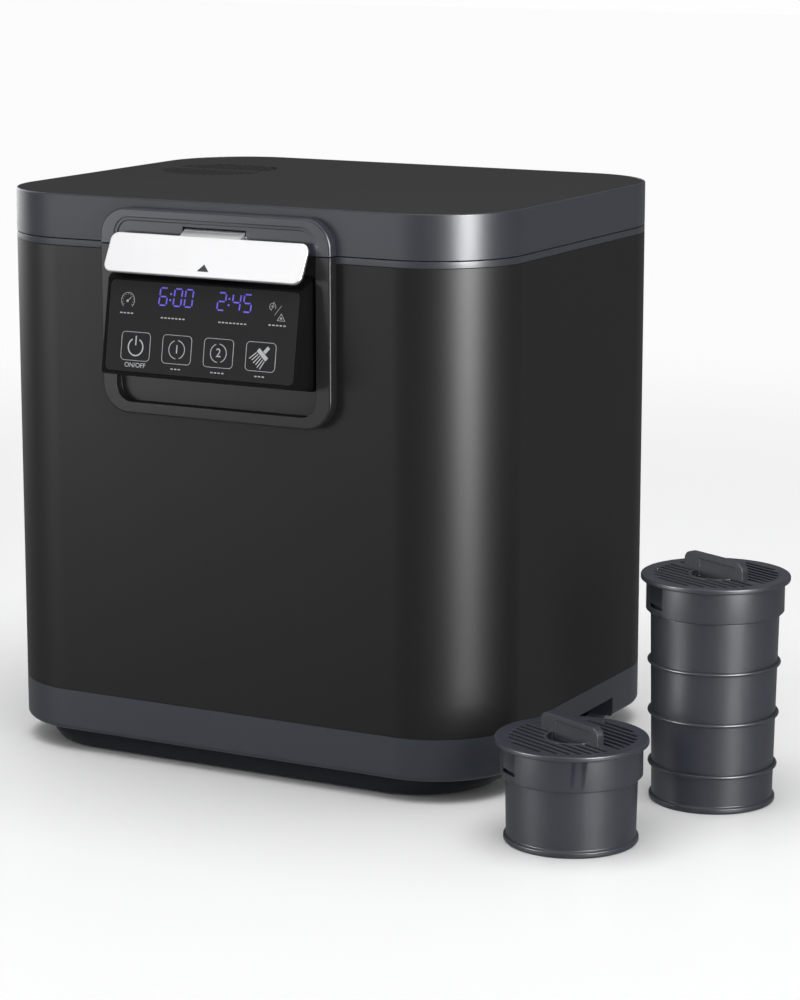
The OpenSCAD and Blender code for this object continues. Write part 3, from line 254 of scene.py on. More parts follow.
def finish(name, group, colour, second=None, rough=0.4, bump=0.1, metal=0.0, level=0.5,
           centre=(0, 0, 0), glow=None, **values):
    material = bpy.data.materials.new(name)
    material.use_nodes = True
    tree = material.node_tree
    shader = tree.nodes["Principled BSDF"]
    shader.inputs["Metallic"].default_value = metal
    shader.inputs["Specular IOR Level"].default_value = level
    where = tree.nodes.new("ShaderNodeTexCoord")
    place = tree.nodes.new("ShaderNodeMapping")
    place.inputs["Location"].default_value = [-c for c in centre]
    skin = tree.nodes.new("ShaderNodeGroup")
    skin.node_tree = group
    second = second or [min(1.0, LIGHTER * c) for c in colour]
    values.update({"Colour": (*colour, 1), "Second colour": (*second, 1), "Roughness": rough})
    for label, value in values.items():
        skin.inputs[label.replace("_", " ")].default_value = value
    relief = tree.nodes.new("ShaderNodeBump")
    relief.inputs["Strength"].default_value = bump
    relief.inputs["Distance"].default_value = BUMP_DEPTH
    tree.links.new(where.outputs["Object"], place.inputs["Vector"])
    tree.links.new(place.outputs["Vector"], skin.inputs["Vector"])
    tree.links.new(skin.outputs["Colour"], shader.inputs["Base Color"])
    tree.links.new(skin.outputs["Roughness"], shader.inputs["Roughness"])
    tree.links.new(skin.outputs["Height"], relief.inputs["Height"])
    tree.links.new(relief.outputs["Normal"], shader.inputs["Normal"])
    if glow:
        shader.inputs["Emission Color"].default_value = (*glow[:3], 1)
        shader.inputs["Emission Strength"].default_value = glow[3]
    return material


def axis_of(node):
    low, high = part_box(node)
    middle = (low + high) / 2
    return (middle.x, middle.y, 0.0)


POT_AXIS = axis_of("heater_pot")
finishes = {}
print("pot axis at", [round(v * 1000, 1) for v in POT_AXIS])

# %% [markdown]
# The machine's outside has six mouldings that the eye tells apart: slate
# grey satin for ring, lip and lid band, black satin for the shell, a
# matter black for the lid's top, a glossier black for the panel frame, a
# deeper one for its pod and a dull near-black for the plinth. The pod's
# deeper black is partly its own colour and partly painted shade: it darkens
# the pod's sides, where the gap round it lies in shadow. The glass is
# smoother than all of them. One table holds what makes them differ.

# %% The outer mouldings
# colour, second colour, roughness, bump, gloss, grains a metre, handling
OUTER = {
    "slate_plastic": ((0.032, 0.037, 0.048), None, 0.36, 0.10, 0.30, 2600.0, 0.05),
    "shell_black": ((0.010, 0.010, 0.010), (0.0115, 0.0115, 0.0115), 0.42, 0.06, 0.16, 3200.0, 0.03),
    "panel_black": ((0.020, 0.020, 0.020), (0.024, 0.024, 0.024), 0.62, 0.35, 0.12, 2200.0, 0.05),
    "plinth_dark": ((0.010, 0.012, 0.016), None, 0.50, 0.20, 0.15, 2000.0, 0.05),
    "bezel_black": ((0.019, 0.019, 0.0195), None, 0.34, 0.04, 0.20, 3000.0, 0.04),
    # the pod's deeper black is partly painted shade for the shadowed gap round it
    "pod_black": ((0.006, 0.006, 0.0062), None, 0.34, 0.04, 0.16, 3000.0, 0.04),
    "screen_glass": ((0.024, 0.024, 0.0255), (0.025, 0.025, 0.0265), 0.20, 0.01, 0.40, 800.0, 0.05),
}
for name, (colour, second, rough, bump, level, grain, handling) in OUTER.items():
    finishes[name] = finish(name, MOULDED, colour, second, rough=rough, bump=bump, level=level,
                            Grain_size=grain, Handling=handling)
print(len(finishes), "outer finishes")

# %% [markdown]
# Rubber is dull and a little blotchy, the inside mouldings are plain, and
# the boards are green lacquer over glass cloth. All share one gloss.

# %% Inner mouldings, rubber and felt
INNER_GLOSS, INNER_HANDLING = 0.4, 0.08
# colour, roughness, bump, grains a metre
PLAIN = {
    "foot_rubber": ((0.012, 0.012, 0.012), 0.75, 0.30, 1200.0),
    "seal_rubber": ((0.16, 0.165, 0.17), 0.55, 0.15, 1500.0),
    "ring_rubber": ((0.014, 0.014, 0.014), 0.60, 0.20, 1500.0),
    "inner_plastic": ((0.030, 0.032, 0.035), 0.48, 0.25, 1800.0),
    "liner_plastic": ((0.25, 0.255, 0.26), 0.45, 0.20, 1800.0),
    "gear_nylon": ((0.62, 0.59, 0.50), 0.42, 0.10, 1500.0),
    "heater_mica": ((0.26, 0.21, 0.14), 0.50, 0.30, 600.0),
    "ceramic_white": ((0.68, 0.68, 0.64), 0.35, 0.10, 900.0),
    "felt_wool": ((0.50, 0.47, 0.38), 0.95, 0.90, 700.0),
    "carbon_black": ((0.012, 0.012, 0.013), 0.55, 0.90, 500.0),
    "board_green": ((0.012, 0.075, 0.030), 0.38, 0.20, 2400.0),
}
for name, (colour, rough, bump, grain) in PLAIN.items():
    finishes[name] = finish(name, MOULDED, colour, rough=rough, bump=bump, level=INNER_GLOSS,
                            Grain_size=grain, Handling=INNER_HANDLING)
print(len(finishes), "finishes so far")

# %% [markdown]
# The pick-up flap is the brightest piece: a satin silver that throws the
# white studio straight back. Steel pins are drawn, sheet is rolled, and
# the pot and the bucket are spun aluminium, the bucket under a dark coat.

# %% Metals
DARKER, METAL_LINES = 0.9, 0.10
# surface, colour, roughness, bump, share of metal
METALS = {
    "flap_silver": (DRAWN, (0.90, 0.90, 0.91), 0.30, 0.03, 0.9),
    "plated_steel": (DRAWN, (0.52, 0.53, 0.55), 0.36, 0.10, 1.0),
    "pin_steel": (DRAWN, (0.60, 0.60, 0.62), 0.24, 0.06, 1.0),
    "case_alloy": (DRAWN, (0.42, 0.43, 0.44), 0.48, 0.15, 0.9),
    "winding_copper": (DRAWN, (0.55, 0.24, 0.10), 0.34, 0.30, 1.0),
    "bush_bronze": (DRAWN, (0.50, 0.33, 0.15), 0.38, 0.15, 1.0),
    "pot_metal": (SPUN, (0.55, 0.55, 0.56), 0.34, 0.15, 1.0),
    "bucket_coat": (SPUN, (0.055, 0.055, 0.058), 0.40, 0.20, 0.35),
    "agitator_metal": (SPUN, (0.50, 0.50, 0.52), 0.42, 0.20, 1.0),
}
for name, (group, colour, rough, bump, metal) in METALS.items():
    centre = POT_AXIS if group is SPUN else (0, 0, 0)
    second = [DARKER * c for c in colour]
    finishes[name] = finish(name, group, colour, second, rough=rough, bump=bump, metal=metal,
                            centre=centre, Line_strength=METAL_LINES)
print(len(finishes), "finishes so far")

# %% [markdown]
# The panel's marks are printed in a light ink and the flap's in a dark one.
# The digits are lit from behind, so their finish gives off a little light.

# %% Inks and lit digits
# colour, roughness, bump, glow
INKS = {
    "ink_white": ((0.46, 0.47, 0.48), 0.45, 0.02, None),
    "ink_dark": ((0.03, 0.03, 0.033), 0.5, 0.02, None),
    "digit_violet": ((0.12, 0.09, 0.55), 0.4, 0.0, (0.14, 0.10, 0.62, 0.42)),
}
for name, (colour, rough, bump, glow) in INKS.items():
    finishes[name] = finish(name, MOULDED, colour, rough=rough, bump=bump, glow=glow, Grain_size=900.0)
missing = sorted(set(slot_of.values()) - set(finishes))
print("finishes", len(finishes), "missing", missing)

# %% [markdown]
# ## Dress every solid
# A CAD solid keeps its shape and only swaps its grey stand-in for a real
# finish. Most of the inner pieces need no more than that.

# %% Give each solid its finish
def wear(piece, material):
    piece.data.materials.clear()
    piece.data.materials.append(material)


for name, solid in nodes.items():
    wear(solid, finishes[slot_of[name]])
print("dressed", len(nodes), "solids")

# %% [markdown]
# ## Soft edges
# No moulded edge is knife sharp: a small round catches a line of light and
# lets two flush pieces show a fine seam. A CAD mesh is loose triangles, so
# a copy is merged and its flat faces are joined. Edges that turn by more
# than a set angle get a weight, and a Bevel modifier rounds only those.
# The copy then stands for the solid.

# %% A clean copy with marked edges
# points to merge in metres, then the turn of a flat edge and of a sharp one in degrees
MERGE, FLAT_TURN, EDGE_TURN = 3e-5, 0.3, 32.0


def new_piece(name, mesh, body, slot, material=None):
    piece = placed(name, mesh)
    wear(piece, material or finishes[slot])
    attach(piece, body)
    return piece


def baked(holder):
    graph = bpy.context.evaluated_depsgraph_get()
    mesh = bpy.data.meshes.new_from_object(holder.evaluated_get(graph), depsgraph=graph)
    bpy.data.objects.remove(holder)
    return mesh


def clean_copy(node):
    mesh = nodes[node].data.copy()
    work = bmesh.new()
    work.from_mesh(mesh)
    bmesh.ops.remove_doubles(work, verts=work.verts, dist=MERGE)
    bmesh.ops.dissolve_limit(work, angle_limit=math.radians(FLAT_TURN), verts=work.verts, edges=work.edges)
    for face in work.faces:
        face.smooth = True
    work.to_mesh(mesh)
    work.free()
    mesh.materials.clear()
    return mesh


def mark_edges(mesh, spared):
    work = bmesh.new()
    work.from_mesh(mesh)
    weight = work.edges.layers.float.new("bevel_weight_edge")
    for edge in work.edges:
        sharp = edge.is_manifold and edge.calc_face_angle(0.0) > math.radians(EDGE_TURN)
        edge[weight] = float(sharp and not all(spared(v.co) for v in edge.verts))
    work.to_mesh(mesh)
    work.free()


print("copies merge points closer than", MERGE, "m")

# %% [markdown]
# A bevel that is too wide for a narrow place folds a face over or pushes a
# point out of the solid's box. Both are measured, and the next gentler
# setting is tried until neither counts. Weighted normals then keep the
# large faces flat in the light.

# %% Round the edges and measure the result
SEGMENTS, SHARP_TURN, FLAT_WEIGHT = 2, 46.0, 50


def rounded_off(mesh, width, clamp):
    holder = placed("round", mesh.copy())
    bevel = holder.modifiers.new("soft_edge", "BEVEL")
    bevel.width = width * MM
    bevel.segments = SEGMENTS
    bevel.limit_method = "WEIGHT"
    bevel.use_clamp_overlap = clamp
    return baked(holder)


def flat_faces_flat(mesh):
    mesh.set_sharp_from_angle(angle=math.radians(SHARP_TURN))
    holder = placed("weigh", mesh)
    weigh = holder.modifiers.new("weigh", "WEIGHTED_NORMAL")
    weigh.keep_sharp = True
    weigh.weight = FLAT_WEIGHT
    return baked(holder)


def strays(mesh, low, high):
    past = 0.0
    for i in range(3):
        spread = [v.co[i] for v in mesh.vertices]
        past = max(past, low[i] - min(spread), max(spread) - high[i])
    return past / MM


def folded(mesh):
    mesh.calc_loop_triangles()
    area = 0.0
    for piece in mesh.loop_triangles:
        a, b, c = (mesh.vertices[i].co for i in piece.vertices)
        cross = (b - a).cross(c - a) / 2
        if cross.dot(mesh.polygons[piece.polygon_index].normal) < 0:
            area += cross.length / MM ** 2
    return area


print("edges get", SEGMENTS, "segments")

# %% [markdown]
# The caps have many ribs under their plates, where no one looks, and a
# round there would fold the plate's big face. So those edges stay sharp:
# they lie below the plate and inside the skirt.

# %% Soften the pieces that show
# what a copy may stray in mm and fold in mm2, then a cap's sizes in mm
STRAY_MM, FOLD_MM2 = 0.02, 40.0
FIN_RISE, PLATE, CAP_INSIDE = 9.7, 2.3, 40.0
# each try: the share of the width, and whether overlaps are held back
TRIES = ((1.0, False), (0.6, False), (1.0, True), (0.0, True))


def hidden_edges(node):
    low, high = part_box(node)
    middle = (low + high) / 2
    underside = high.z - (FIN_RISE + PLATE) * MM
    return lambda p: p.z < underside and (p - middle).xy.length < CAP_INSIDE * MM


def softened(node, width):
    plain = clean_copy(node)
    low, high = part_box(node)
    mark_edges(plain, hidden_edges(node) if node.endswith("_cap") else lambda p: False)
    for part, clamp in TRIES:
        soft = rounded_off(plain, width * part, clamp) if part else plain
        if strays(soft, low, high) < STRAY_MM and folded(soft) < FOLD_MM2:
            break
    piece = new_piece(node + "_soft", flat_faces_flat(soft), body_of[node], slot_of[node])
    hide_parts(node)
    print(node, len(piece.data.polygons), "faces, width", width * part, "clamped" if clamp else "",
          "folded", round(folded(piece.data), 2))
    return piece


# width of the round on each piece, in mm
SOFT = {
    "base_plinth": 0.5, "base_ring": 0.35, "body_shell": 0.35, "top_frame": 0.35, "inner_deck": 0.4,
    "control_bezel": 0.35, "control_pod": 0.4, "control_glass": 0.2, "lid_shell": 0.25,
    "lid_top_panel": 0.25, "lid_escutcheon": 0.3, "lid_liner": 0.4, "lid_hinge_arms": 0.3,
    "hinge_brackets": 0.3, "pickup_flap": 0.2, "power_inlet": 0.25, "bucket": 0.25,
    "tall_canister": 0.2, "short_canister": 0.2, "tall_cap": 0.25, "short_cap": 0.25,
    "filter_bays": 0.3,
}
soft = {name: softened(name, width) for name, width in SOFT.items()}
# the pod wears the deeper black, which partly paints the shade in the gap between pod and frame
wear(soft["control_pod"], finishes["pod_black"])

# %% [markdown]
# ## The printed panel
# The glass of the control pod leans back. A small function turns a place
# on the glass, across and up its face, into a point in space, and every
# mark on the panel is drawn with it. The flap leans too and has its own.

# %% The panel's own plane
# front of the shell, then how far the glass stands out, its foot and its lean
FACE_Y = -131.25
POD_OUT, POD_Z, POD_LEAN = 25.6, 237.4, 9.4
# ink starts under the glass and ends above it: both levels, the middle, the thickness
INK, LIFT, LAYER = (-0.02, 0.06), 0.02, 0.08


def leaning_face(proud, height, lean):
    c, s = math.cos(math.radians(lean)), math.sin(math.radians(lean))

    def place(across, up, out=0.0):
        y = up * c + out * s
        z = -up * s + out * c
        return Vector((across * MM, (FACE_Y - proud - z) * MM, (height + y) * MM))

    return place


on_glass = leaning_face(POD_OUT, POD_Z, POD_LEAN)
print("middle of the glass at", [round(v * 1000, 1) for v in on_glass(0, 28)])

# %% [markdown]
# Ink is a thin layer with a little thickness. A line is a ribbon along its
# points with mitred turns, and a filled shape is its outline. Both become
# closed slabs that sit on the glass.

# %% Draw lines and filled shapes
SHARPEST_MITRE = 0.35


def slab(work, outline, place=on_glass):
    low, high = [[work.verts.new(place(x, y, depth)) for x, y in outline] for depth in INK]
    work.faces.new(high)
    work.faces.new(low[::-1])
    for i in range(len(outline)):
        j = (i + 1) % len(outline)
        work.faces.new((low[i], low[j], high[j], high[i]))


def ribbon(work, points, width, closed=False):
    n = len(points)
    left, right = [], []
    for i in range(n):
        here = Vector(points[i])
        back = Vector(points[(i - 1) % n]) if closed or i else None
        ahead = Vector(points[(i + 1) % n]) if closed or i < n - 1 else None
        a = (here - back).normalized() if back else (ahead - here).normalized()
        b = (ahead - here).normalized() if ahead else a
        side_a, side_b = Vector((-a.y, a.x)), Vector((-b.y, b.x))
        mitre = (side_a + side_b).normalized()
        reach = width / 2 / max(SHARPEST_MITRE, mitre.dot(side_a))
        left.append(here + mitre * reach)
        right.append(here - mitre * reach)
    rows = [[work.verts.new(on_glass(p.x, p.y, depth)) for p in side] for side, depth in
            ((left, INK[0]), (left, INK[1]), (right, INK[1]), (right, INK[0]))]
    for i in range(n if closed else n - 1):
        j = (i + 1) % n
        for k in range(4):
            row, following = rows[k], rows[(k + 1) % 4]
            work.faces.new((row[i], row[j], following[j], following[i]))
    if not closed:
        work.faces.new([row[0] for row in rows])
        work.faces.new([row[-1] for row in rows][::-1])


def arc(x, y, r, start, end, steps=20):
    turns = [math.radians(start + (end - start) * k / steps) for k in range(steps + 1)]
    return [(x + r * math.cos(t), y + r * math.sin(t)) for t in turns]


def full_circle(x, y, r, points):
    return arc(x, y, r, 0, 360 - 360 / points, points - 1)


def finish_mesh(work, name):
    bmesh.ops.recalc_face_normals(work, faces=work.faces)
    mesh = bpy.data.meshes.new(name)
    work.to_mesh(mesh)
    work.free()
    return mesh


print("drawing tools ready")

# %% [markdown]
# The two readings are seven-segment digits, which lean a little. Which
# segments are lit comes from the usual table. The times shown are plain
# numbers.

# %% Seven-segment digits
LIT = {"0": "abcdef", "1": "bc", "2": "abged", "3": "abgcd", "4": "fgbc", "5": "afgcd",
       "6": "afgedc", "7": "abc", "8": "abcdefg", "9": "abcdfg"}
DIGIT_W, DIGIT_H, BAR, SLANT = 5.0, 9.8, 0.85, 0.08
# gap at a bar's tip, radius of a colon's dot, space between two digits
TIP, DOT, SPACE = 0.62, 0.62, 2.3
# how far up the digit the colon's dots are, then each reading and its place
COLON = (0.32, 0.68)
READINGS = (("6:00", (-29.2, 41.2)), ("2:45", (9.4, 40.9)))


def segment_ends(key):
    w, h, m = DIGIT_W, DIGIT_H, DIGIT_H / 2
    return {"a": ((0, h), (w, h)), "b": ((w, h), (w, m)), "c": ((w, m), (w, 0)), "d": ((0, 0), (w, 0)),
            "e": ((0, m), (0, 0)), "f": ((0, h), (0, m)), "g": ((0, m), (w, m))}[key]


def draw_reading(work, text, x, y):
    for sign in text:
        if sign == ":":
            for up in COLON:
                cx, cy = x + SLANT * up * DIGIT_H, y + up * DIGIT_H
                slab(work, full_circle(cx, cy, DOT, 20))
            x += SPACE
            continue
        for key in LIT[sign]:
            a, b = (Vector(p) for p in segment_ends(key))
            step = (b - a).normalized() * TIP
            ends = [a + step, b - step]
            ribbon(work, [(x + p.x + SLANT * p.y, y + p.y) for p in ends], BAR)
        x += DIGIT_W + SPACE


work = bmesh.new()
for text, spot in READINGS:
    draw_reading(work, text, *spot)
digits = new_piece("panel_digits", finish_mesh(work, "panel_digits"), "housing", "screen_glass",
                   finishes["digit_violet"])
print("digit faces", len(digits.data.polygons))

# %% [markdown]
# The pictograms are plain signs: a dial with a needle for the weight, a
# droplet and a funnel for the filter, the power sign, two rings with the
# numbers of the two programmes, and a brush for cleaning.

# %% Pictograms for the readings
FINE, BOLD, HAIR = 0.26, 0.75, 0.22
GAUGE, SIGNS = (-49.9, 42.6), (49.3, 42.6)
icon_work = bmesh.new()
x, y = GAUGE
ribbon(icon_work, arc(x, y, 4.4, -50, 230, 30), FINE)
for turn in range(-40, 221, 26):
    c, s = math.cos(math.radians(turn)), math.sin(math.radians(turn))
    ribbon(icon_work, [(x + 3.2 * c, y + 3.2 * s), (x + 3.8 * c, y + 3.8 * s)], HAIR)
ribbon(icon_work, [(x - 0.9, y - 1.0), (x + 2.0, y + 1.8)], 0.34)
slab(icon_work, full_circle(x - 0.3, y - 0.4, 0.75, 18))
# filter signs: a droplet with its wave, a stroke between, and a funnel
x, y = SIGNS
ribbon(icon_work, arc(x - 3.7, y + 2.4, 2.0, -30, 250, 18) + [(x - 2.9, y + 5.2)], FINE)
wave = [(-4.9, 2.4), (-4.0, 3.0), (-3.2, 2.2), (-2.4, 2.9)]
ribbon(icon_work, [(x + dx, y + dy) for dx, dy in wave], 0.24)
ribbon(icon_work, [(x - 2.2, y - 2.2), (x + 2.0, y + 3.3)], HAIR)
ribbon(icon_work, [(x - 0.2, y - 5.1), (x + 4.6, y - 5.1), (x + 2.2, y - 1.2)], FINE, True)
slab(icon_work, [(x + 1.3, y - 4.2), (x + 3.1, y - 4.2), (x + 2.2, y - 2.9)])
print("points so far", len(icon_work.verts))

# %% [markdown]
# Each of the four keys has its own sign, and all keys share one spacing.
# The brush is drawn upright and turned by a small function.

# %% Pictograms for the keys
KEY_PITCH, BRUSH_TURN = 27.6, -42
KEYS = [(-42.6 + KEY_PITCH * k, 16.7) for k in range(4)]


def on_brush(dx, dy):
    c, s = math.cos(math.radians(BRUSH_TURN)), math.sin(math.radians(BRUSH_TURN))
    return (KEYS[3][0] + dx * c - dy * s, KEYS[3][1] + dx * s + dy * c)


# power sign
x, y = KEYS[0]
ribbon(icon_work, arc(x, y - 0.4, 4.9, 118, 422, 30), BOLD)
ribbon(icon_work, [(x, y + 0.6), (x, y + 6.0)], BOLD)
# programme rings, open at two places
for x, y in KEYS[1:3]:
    for start, end in ((-70, 85), (110, 265)):
        ribbon(icon_work, arc(x, y, 5.2, start, end), 0.45)
# brush: handle, head and bristles
for half, foot, top in ((1.0, 3.2, 7.4), (4.0, 0.4, 2.9)):
    slab(icon_work, [on_brush(*p) for p in ((-half, foot), (half, foot), (half, top), (-half, top))])
for k in range(6):
    dx = -3.6 + 1.44 * k
    ribbon(icon_work, [on_brush(dx, -0.1), on_brush(dx * 1.25, -5.8 + 0.5 * (k % 2))], 0.55)
icons = new_piece("panel_icons", finish_mesh(icon_work, "panel_icons"), "housing", "screen_glass",
                  finishes["ink_white"])
print("icon faces", len(icons.data.polygons))

# %% [markdown]
# The power key says ON and OFF, and the programme rings hold a 1 and a 2.
# A text object gives the outlines, it becomes a mesh first, and only then
# do its points move onto the glass.

# %% Small lettering
def glass_text(text, x, y, size):
    curve = bpy.data.curves.new(text, "FONT")
    curve.body = text
    curve.size = size
    curve.align_x = "CENTER"
    curve.align_y = "CENTER"
    curve.resolution_u = 3
    curve.extrude = LAYER / 2
    holder = placed(text, curve)
    bpy.context.view_layer.update()
    mesh = baked(holder)
    for vertex in mesh.vertices:
        vertex.co = on_glass(x + vertex.co.x, y + vertex.co.y, vertex.co.z + LIFT)
    return mesh


def joined(name, meshes):
    work = bmesh.new()
    for mesh in meshes:
        work.from_mesh(mesh)
    bmesh.ops.remove_doubles(work, verts=work.verts, dist=1e-6)
    return finish_mesh(work, name)


SIGN_WORDS = (("ON/OFF", (-42.2, 5.9), 3.9), ("1", KEYS[1], 7.0), ("2", KEYS[2], 7.0))
letters = [glass_text(text, *spot, size) for text, spot, size in SIGN_WORDS]
lettering = new_piece("panel_lettering", joined("panel_lettering", letters), "housing", "screen_glass",
                      finishes["ink_white"])
print("lettering faces", len(lettering.data.polygons))

# %% [markdown]
# ## Geometry Nodes for what repeats
# A small tree that takes a shape and repeats it along a row is easier to
# change than a loop: its sizes are inputs. Every tree here ends in Realize
# Instances and Set Material, and its result is turned into a plain mesh.

# %% Helpers for geometry trees
def geometry_tree(name, inputs):
    return node_group("GeometryNodeTree", name, inputs + [("Finish", "NodeSocketMaterial", None)],
                      [("Geometry", "NodeSocketGeometry")])


def add(tree, kind, inputs, **settings):
    node = tree.nodes.new(kind)
    for label, value in settings.items():
        setattr(node, label, value)
    for label, value in inputs.items():
        feed(tree, node.inputs[label], value)
    return node


def in_a_row(tree, pick, shape):
    step = add(tree, "ShaderNodeCombineXYZ", {"X": pick["Pitch"]})
    row = add(tree, "GeometryNodeMeshLine", {"Count": pick["Count"], "Offset": step.outputs[0]})
    copies = add(tree, "GeometryNodeInstanceOnPoints", {"Points": row.outputs[0], "Instance": shape})
    return copies.outputs[0]


def close_tree(tree, source, sink, geometry):
    real = add(tree, "GeometryNodeRealizeInstances", {"Geometry": geometry})
    paint = add(tree, "GeometryNodeSetMaterial",
                {"Geometry": real.outputs[0], "Material": source.outputs["Finish"]})
    tree.links.new(paint.outputs[0], sink.inputs["Geometry"])
    return tree


def grow(tree, material, place, **values):
    holder = placed("grower", bpy.data.meshes.new("grower"))
    run = holder.modifiers.new("grow", "NODES")
    run.node_group = tree
    values["Finish"] = material
    for item in tree.interface.items_tree:
        if item.in_out == "INPUT" and item.name in values:
            run[item.identifier] = values[item.name]
    bpy.context.view_layer.update()
    mesh = baked(holder)
    for vertex in mesh.vertices:
        vertex.co = place(vertex.co)
    return mesh


print("tree helpers ready")

# %% [markdown]
# A touch key is a thin rounded square of ink. A rectangle curve with
# filleted corners is swept with a small flat profile, and the frame is
# repeated along a row of points.

# %% A row of key frames
def key_row_tree():
    tree, source, sink = geometry_tree("Row of key frames", [
        ("Count", INT, 4), ("Pitch", FLOAT, KEY_PITCH), ("Width", FLOAT, 19.2), ("Height", FLOAT, 16.2),
        ("Corner", FLOAT, 2.4), ("Line", FLOAT, 0.27), ("Layer", FLOAT, LAYER)])
    pick = source.outputs
    outline = add(tree, "GeometryNodeCurvePrimitiveQuadrilateral",
                  {"Width": pick["Width"], "Height": pick["Height"]})
    smooth = add(tree, "GeometryNodeFilletCurve",
                 {"Curve": outline.outputs[0], "Radius": pick["Corner"], "Count": 5}, mode="POLY")
    strip = add(tree, "GeometryNodeCurvePrimitiveQuadrilateral",
                {"Width": pick["Line"], "Height": pick["Layer"]})
    swept = add(tree, "GeometryNodeCurveToMesh",
                {"Curve": smooth.outputs[0], "Profile Curve": strip.outputs[0], "Fill Caps": True})
    return close_tree(tree, source, sink, in_a_row(tree, pick, swept.outputs[0]))


mesh = grow(key_row_tree(), finishes["ink_white"],
            lambda p: on_glass(p.x + KEYS[0][0], p.y + KEYS[0][1], p.z + LIFT))
key_frames = new_piece("key_frames", mesh, "housing", "screen_glass", finishes["ink_white"])
print("key frame faces", len(key_frames.data.polygons))

# %% [markdown]
# Under each reading and each key is a small row of level marks, where the
# real panel has its captions. They are short bars on one line.

# %% Rows of level marks
MARK_PITCH = 2.4


def mark_row_tree():
    tree, source, sink = geometry_tree("Row of level marks", [
        ("Count", INT, 8), ("Pitch", FLOAT, MARK_PITCH), ("Long", FLOAT, 1.5), ("High", FLOAT, 0.7),
        ("Layer", FLOAT, LAYER)])
    pick = source.outputs
    size = add(tree, "ShaderNodeCombineXYZ", {"X": pick["Long"], "Y": pick["High"], "Z": pick["Layer"]})
    bar = add(tree, "GeometryNodeMeshCube", {"Size": size.outputs[0]})
    return close_tree(tree, source, sink, in_a_row(tree, pick, bar.outputs[0]))


# middle of each row, its height on the glass, and how many marks it has
MARKS = [(-50.3, 35.3, 4), (-19.2, 34.1, 7), (20.2, 34.1, 8), (49.3, 34.8, 5),
         (KEYS[1][0], 5.6, 3), (KEYS[2][0], 5.6, 4), (KEYS[3][0], 5.6, 3)]
tree = mark_row_tree()
rows = []
for x, y, count in MARKS:
    start = x - (count - 1) * MARK_PITCH / 2
    rows.append(grow(tree, finishes["ink_white"],
                     lambda p: on_glass(p.x + start, p.y + y, p.z + LIFT), Count=count))
marks = new_piece("panel_marks", joined("panel_marks", rows), "housing", "screen_glass",
                  finishes["ink_white"])
print("mark faces", len(marks.data.polygons))

# %% [markdown]
# The flap carries one dark triangle that points the way it lifts. It sits
# on the flap's sloping face and rides with it.

# %% The triangle on the flap
FLAP_OUT, FLAP_Z, FLAP_LEAN = 10.9, 317.3, 27.8
on_flap = leaning_face(FLAP_OUT, FLAP_Z, FLAP_LEAN)
work = bmesh.new()
slab(work, [(-2.5, -20.7), (5.3, -20.7), (1.4, -16.4)], on_flap)
new_piece("flap_mark", finish_mesh(work, "flap_mark"), "flap", "flap_silver", finishes["ink_dark"])
print("flap mark at", [round(v * 1000, 1) for v in on_flap(0, -17)])

# %% [markdown]
# ## Carbon pellets
# A filter is full of short black pellets. The CAD bed is a plain cylinder,
# so a layer of pellets is scattered on its top with Geometry Nodes: points
# on a disc, one small cylinder on each, turned at random with a fixed seed.

# %% Scatter the pellets
# least and most turn in radians: tipped until nearly flat, and any way round
LEAST_TURN, MOST_TURN = (1.1, 0.0, 0.0), (2.0, 0.4, 6.28)


def pellet_tree():
    tree, source, sink = geometry_tree("Pellet bed", [
        ("Radius", FLOAT, 0.0316), ("Density", FLOAT, 90000.0), ("Spacing", FLOAT, 0.0020),
        ("Pellet radius", FLOAT, 0.0011), ("Pellet length", FLOAT, 0.0042), ("Seed", INT, 4)])
    pick = source.outputs
    disc = add(tree, "GeometryNodeMeshCircle", {"Vertices": 48, "Radius": pick["Radius"]}, fill_type="NGON")
    spots = add(tree, "GeometryNodeDistributePointsOnFaces",
                {"Mesh": disc.outputs[0], "Distance Min": pick["Spacing"], "Density Max": pick["Density"],
                 "Seed": pick["Seed"]}, distribute_method="POISSON")
    pellet = add(tree, "GeometryNodeMeshCylinder",
                 {"Vertices": 8, "Radius": pick["Pellet radius"], "Depth": pick["Pellet length"]})
    tilt = add(tree, "FunctionNodeRandomValue", {0: LEAST_TURN, 1: MOST_TURN, "Seed": pick["Seed"]},
               data_type="FLOAT_VECTOR")
    copies = add(tree, "GeometryNodeInstanceOnPoints",
                 {"Points": spots.outputs[0], "Instance": pellet.outputs[0], "Rotation": tilt.outputs[0]})
    return close_tree(tree, source, sink, copies.outputs[0])


tree = pellet_tree()
for n, name in enumerate(("tall", "short")):
    low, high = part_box(name + "_carbon")
    middle = (low + high) / 2
    lift = Vector((middle.x, middle.y, high.z))
    mesh = grow(tree, finishes["carbon_black"], lambda p: p + lift, Seed=4 + n)
    new_piece(name + "_pellets", mesh, name + "_canister", "carbon_black")
    print(name, "pellets", len(mesh.polygons), "faces")

# %% [markdown]
# ## The studio
# The photograph has a white sweep and a big soft light from above. The
# upright bands of light were set piece by piece: one down the shell's
# corner, two down each filter, none on the glass. So the strips and cards
# give sheen only, and a light that is meant for some pieces is linked to
# them, which leaves the plain level of the light alone.

# %% A maker for soft lights
def soft_box(name, place, aim, width, height, watts, sheen_only=False):
    lamp = bpy.data.lights.new(name, "AREA")
    lamp.shape = "RECTANGLE"
    lamp.size, lamp.size_y = width, height
    lamp.energy = watts
    light = placed(name, lamp)
    light.location = place
    light.rotation_euler = (Vector(aim) - Vector(place)).to_track_quat("-Z", "Y").to_euler()
    light.visible_camera = False
    light.visible_diffuse = not sheen_only
    return light


def round_about(degrees, distance, height):
    turn = math.radians(degrees)
    return (distance * math.sin(turn), -distance * math.cos(turn), height)


def linked(light, state, pieces):
    reach = bpy.data.collections.new(light.name + "_reach")
    for piece in pieces:
        reach.objects.link(piece)
    for entry in reach.collection_objects:
        entry.light_linking.link_state = state
    light.light_linking.receiver_collection = reach


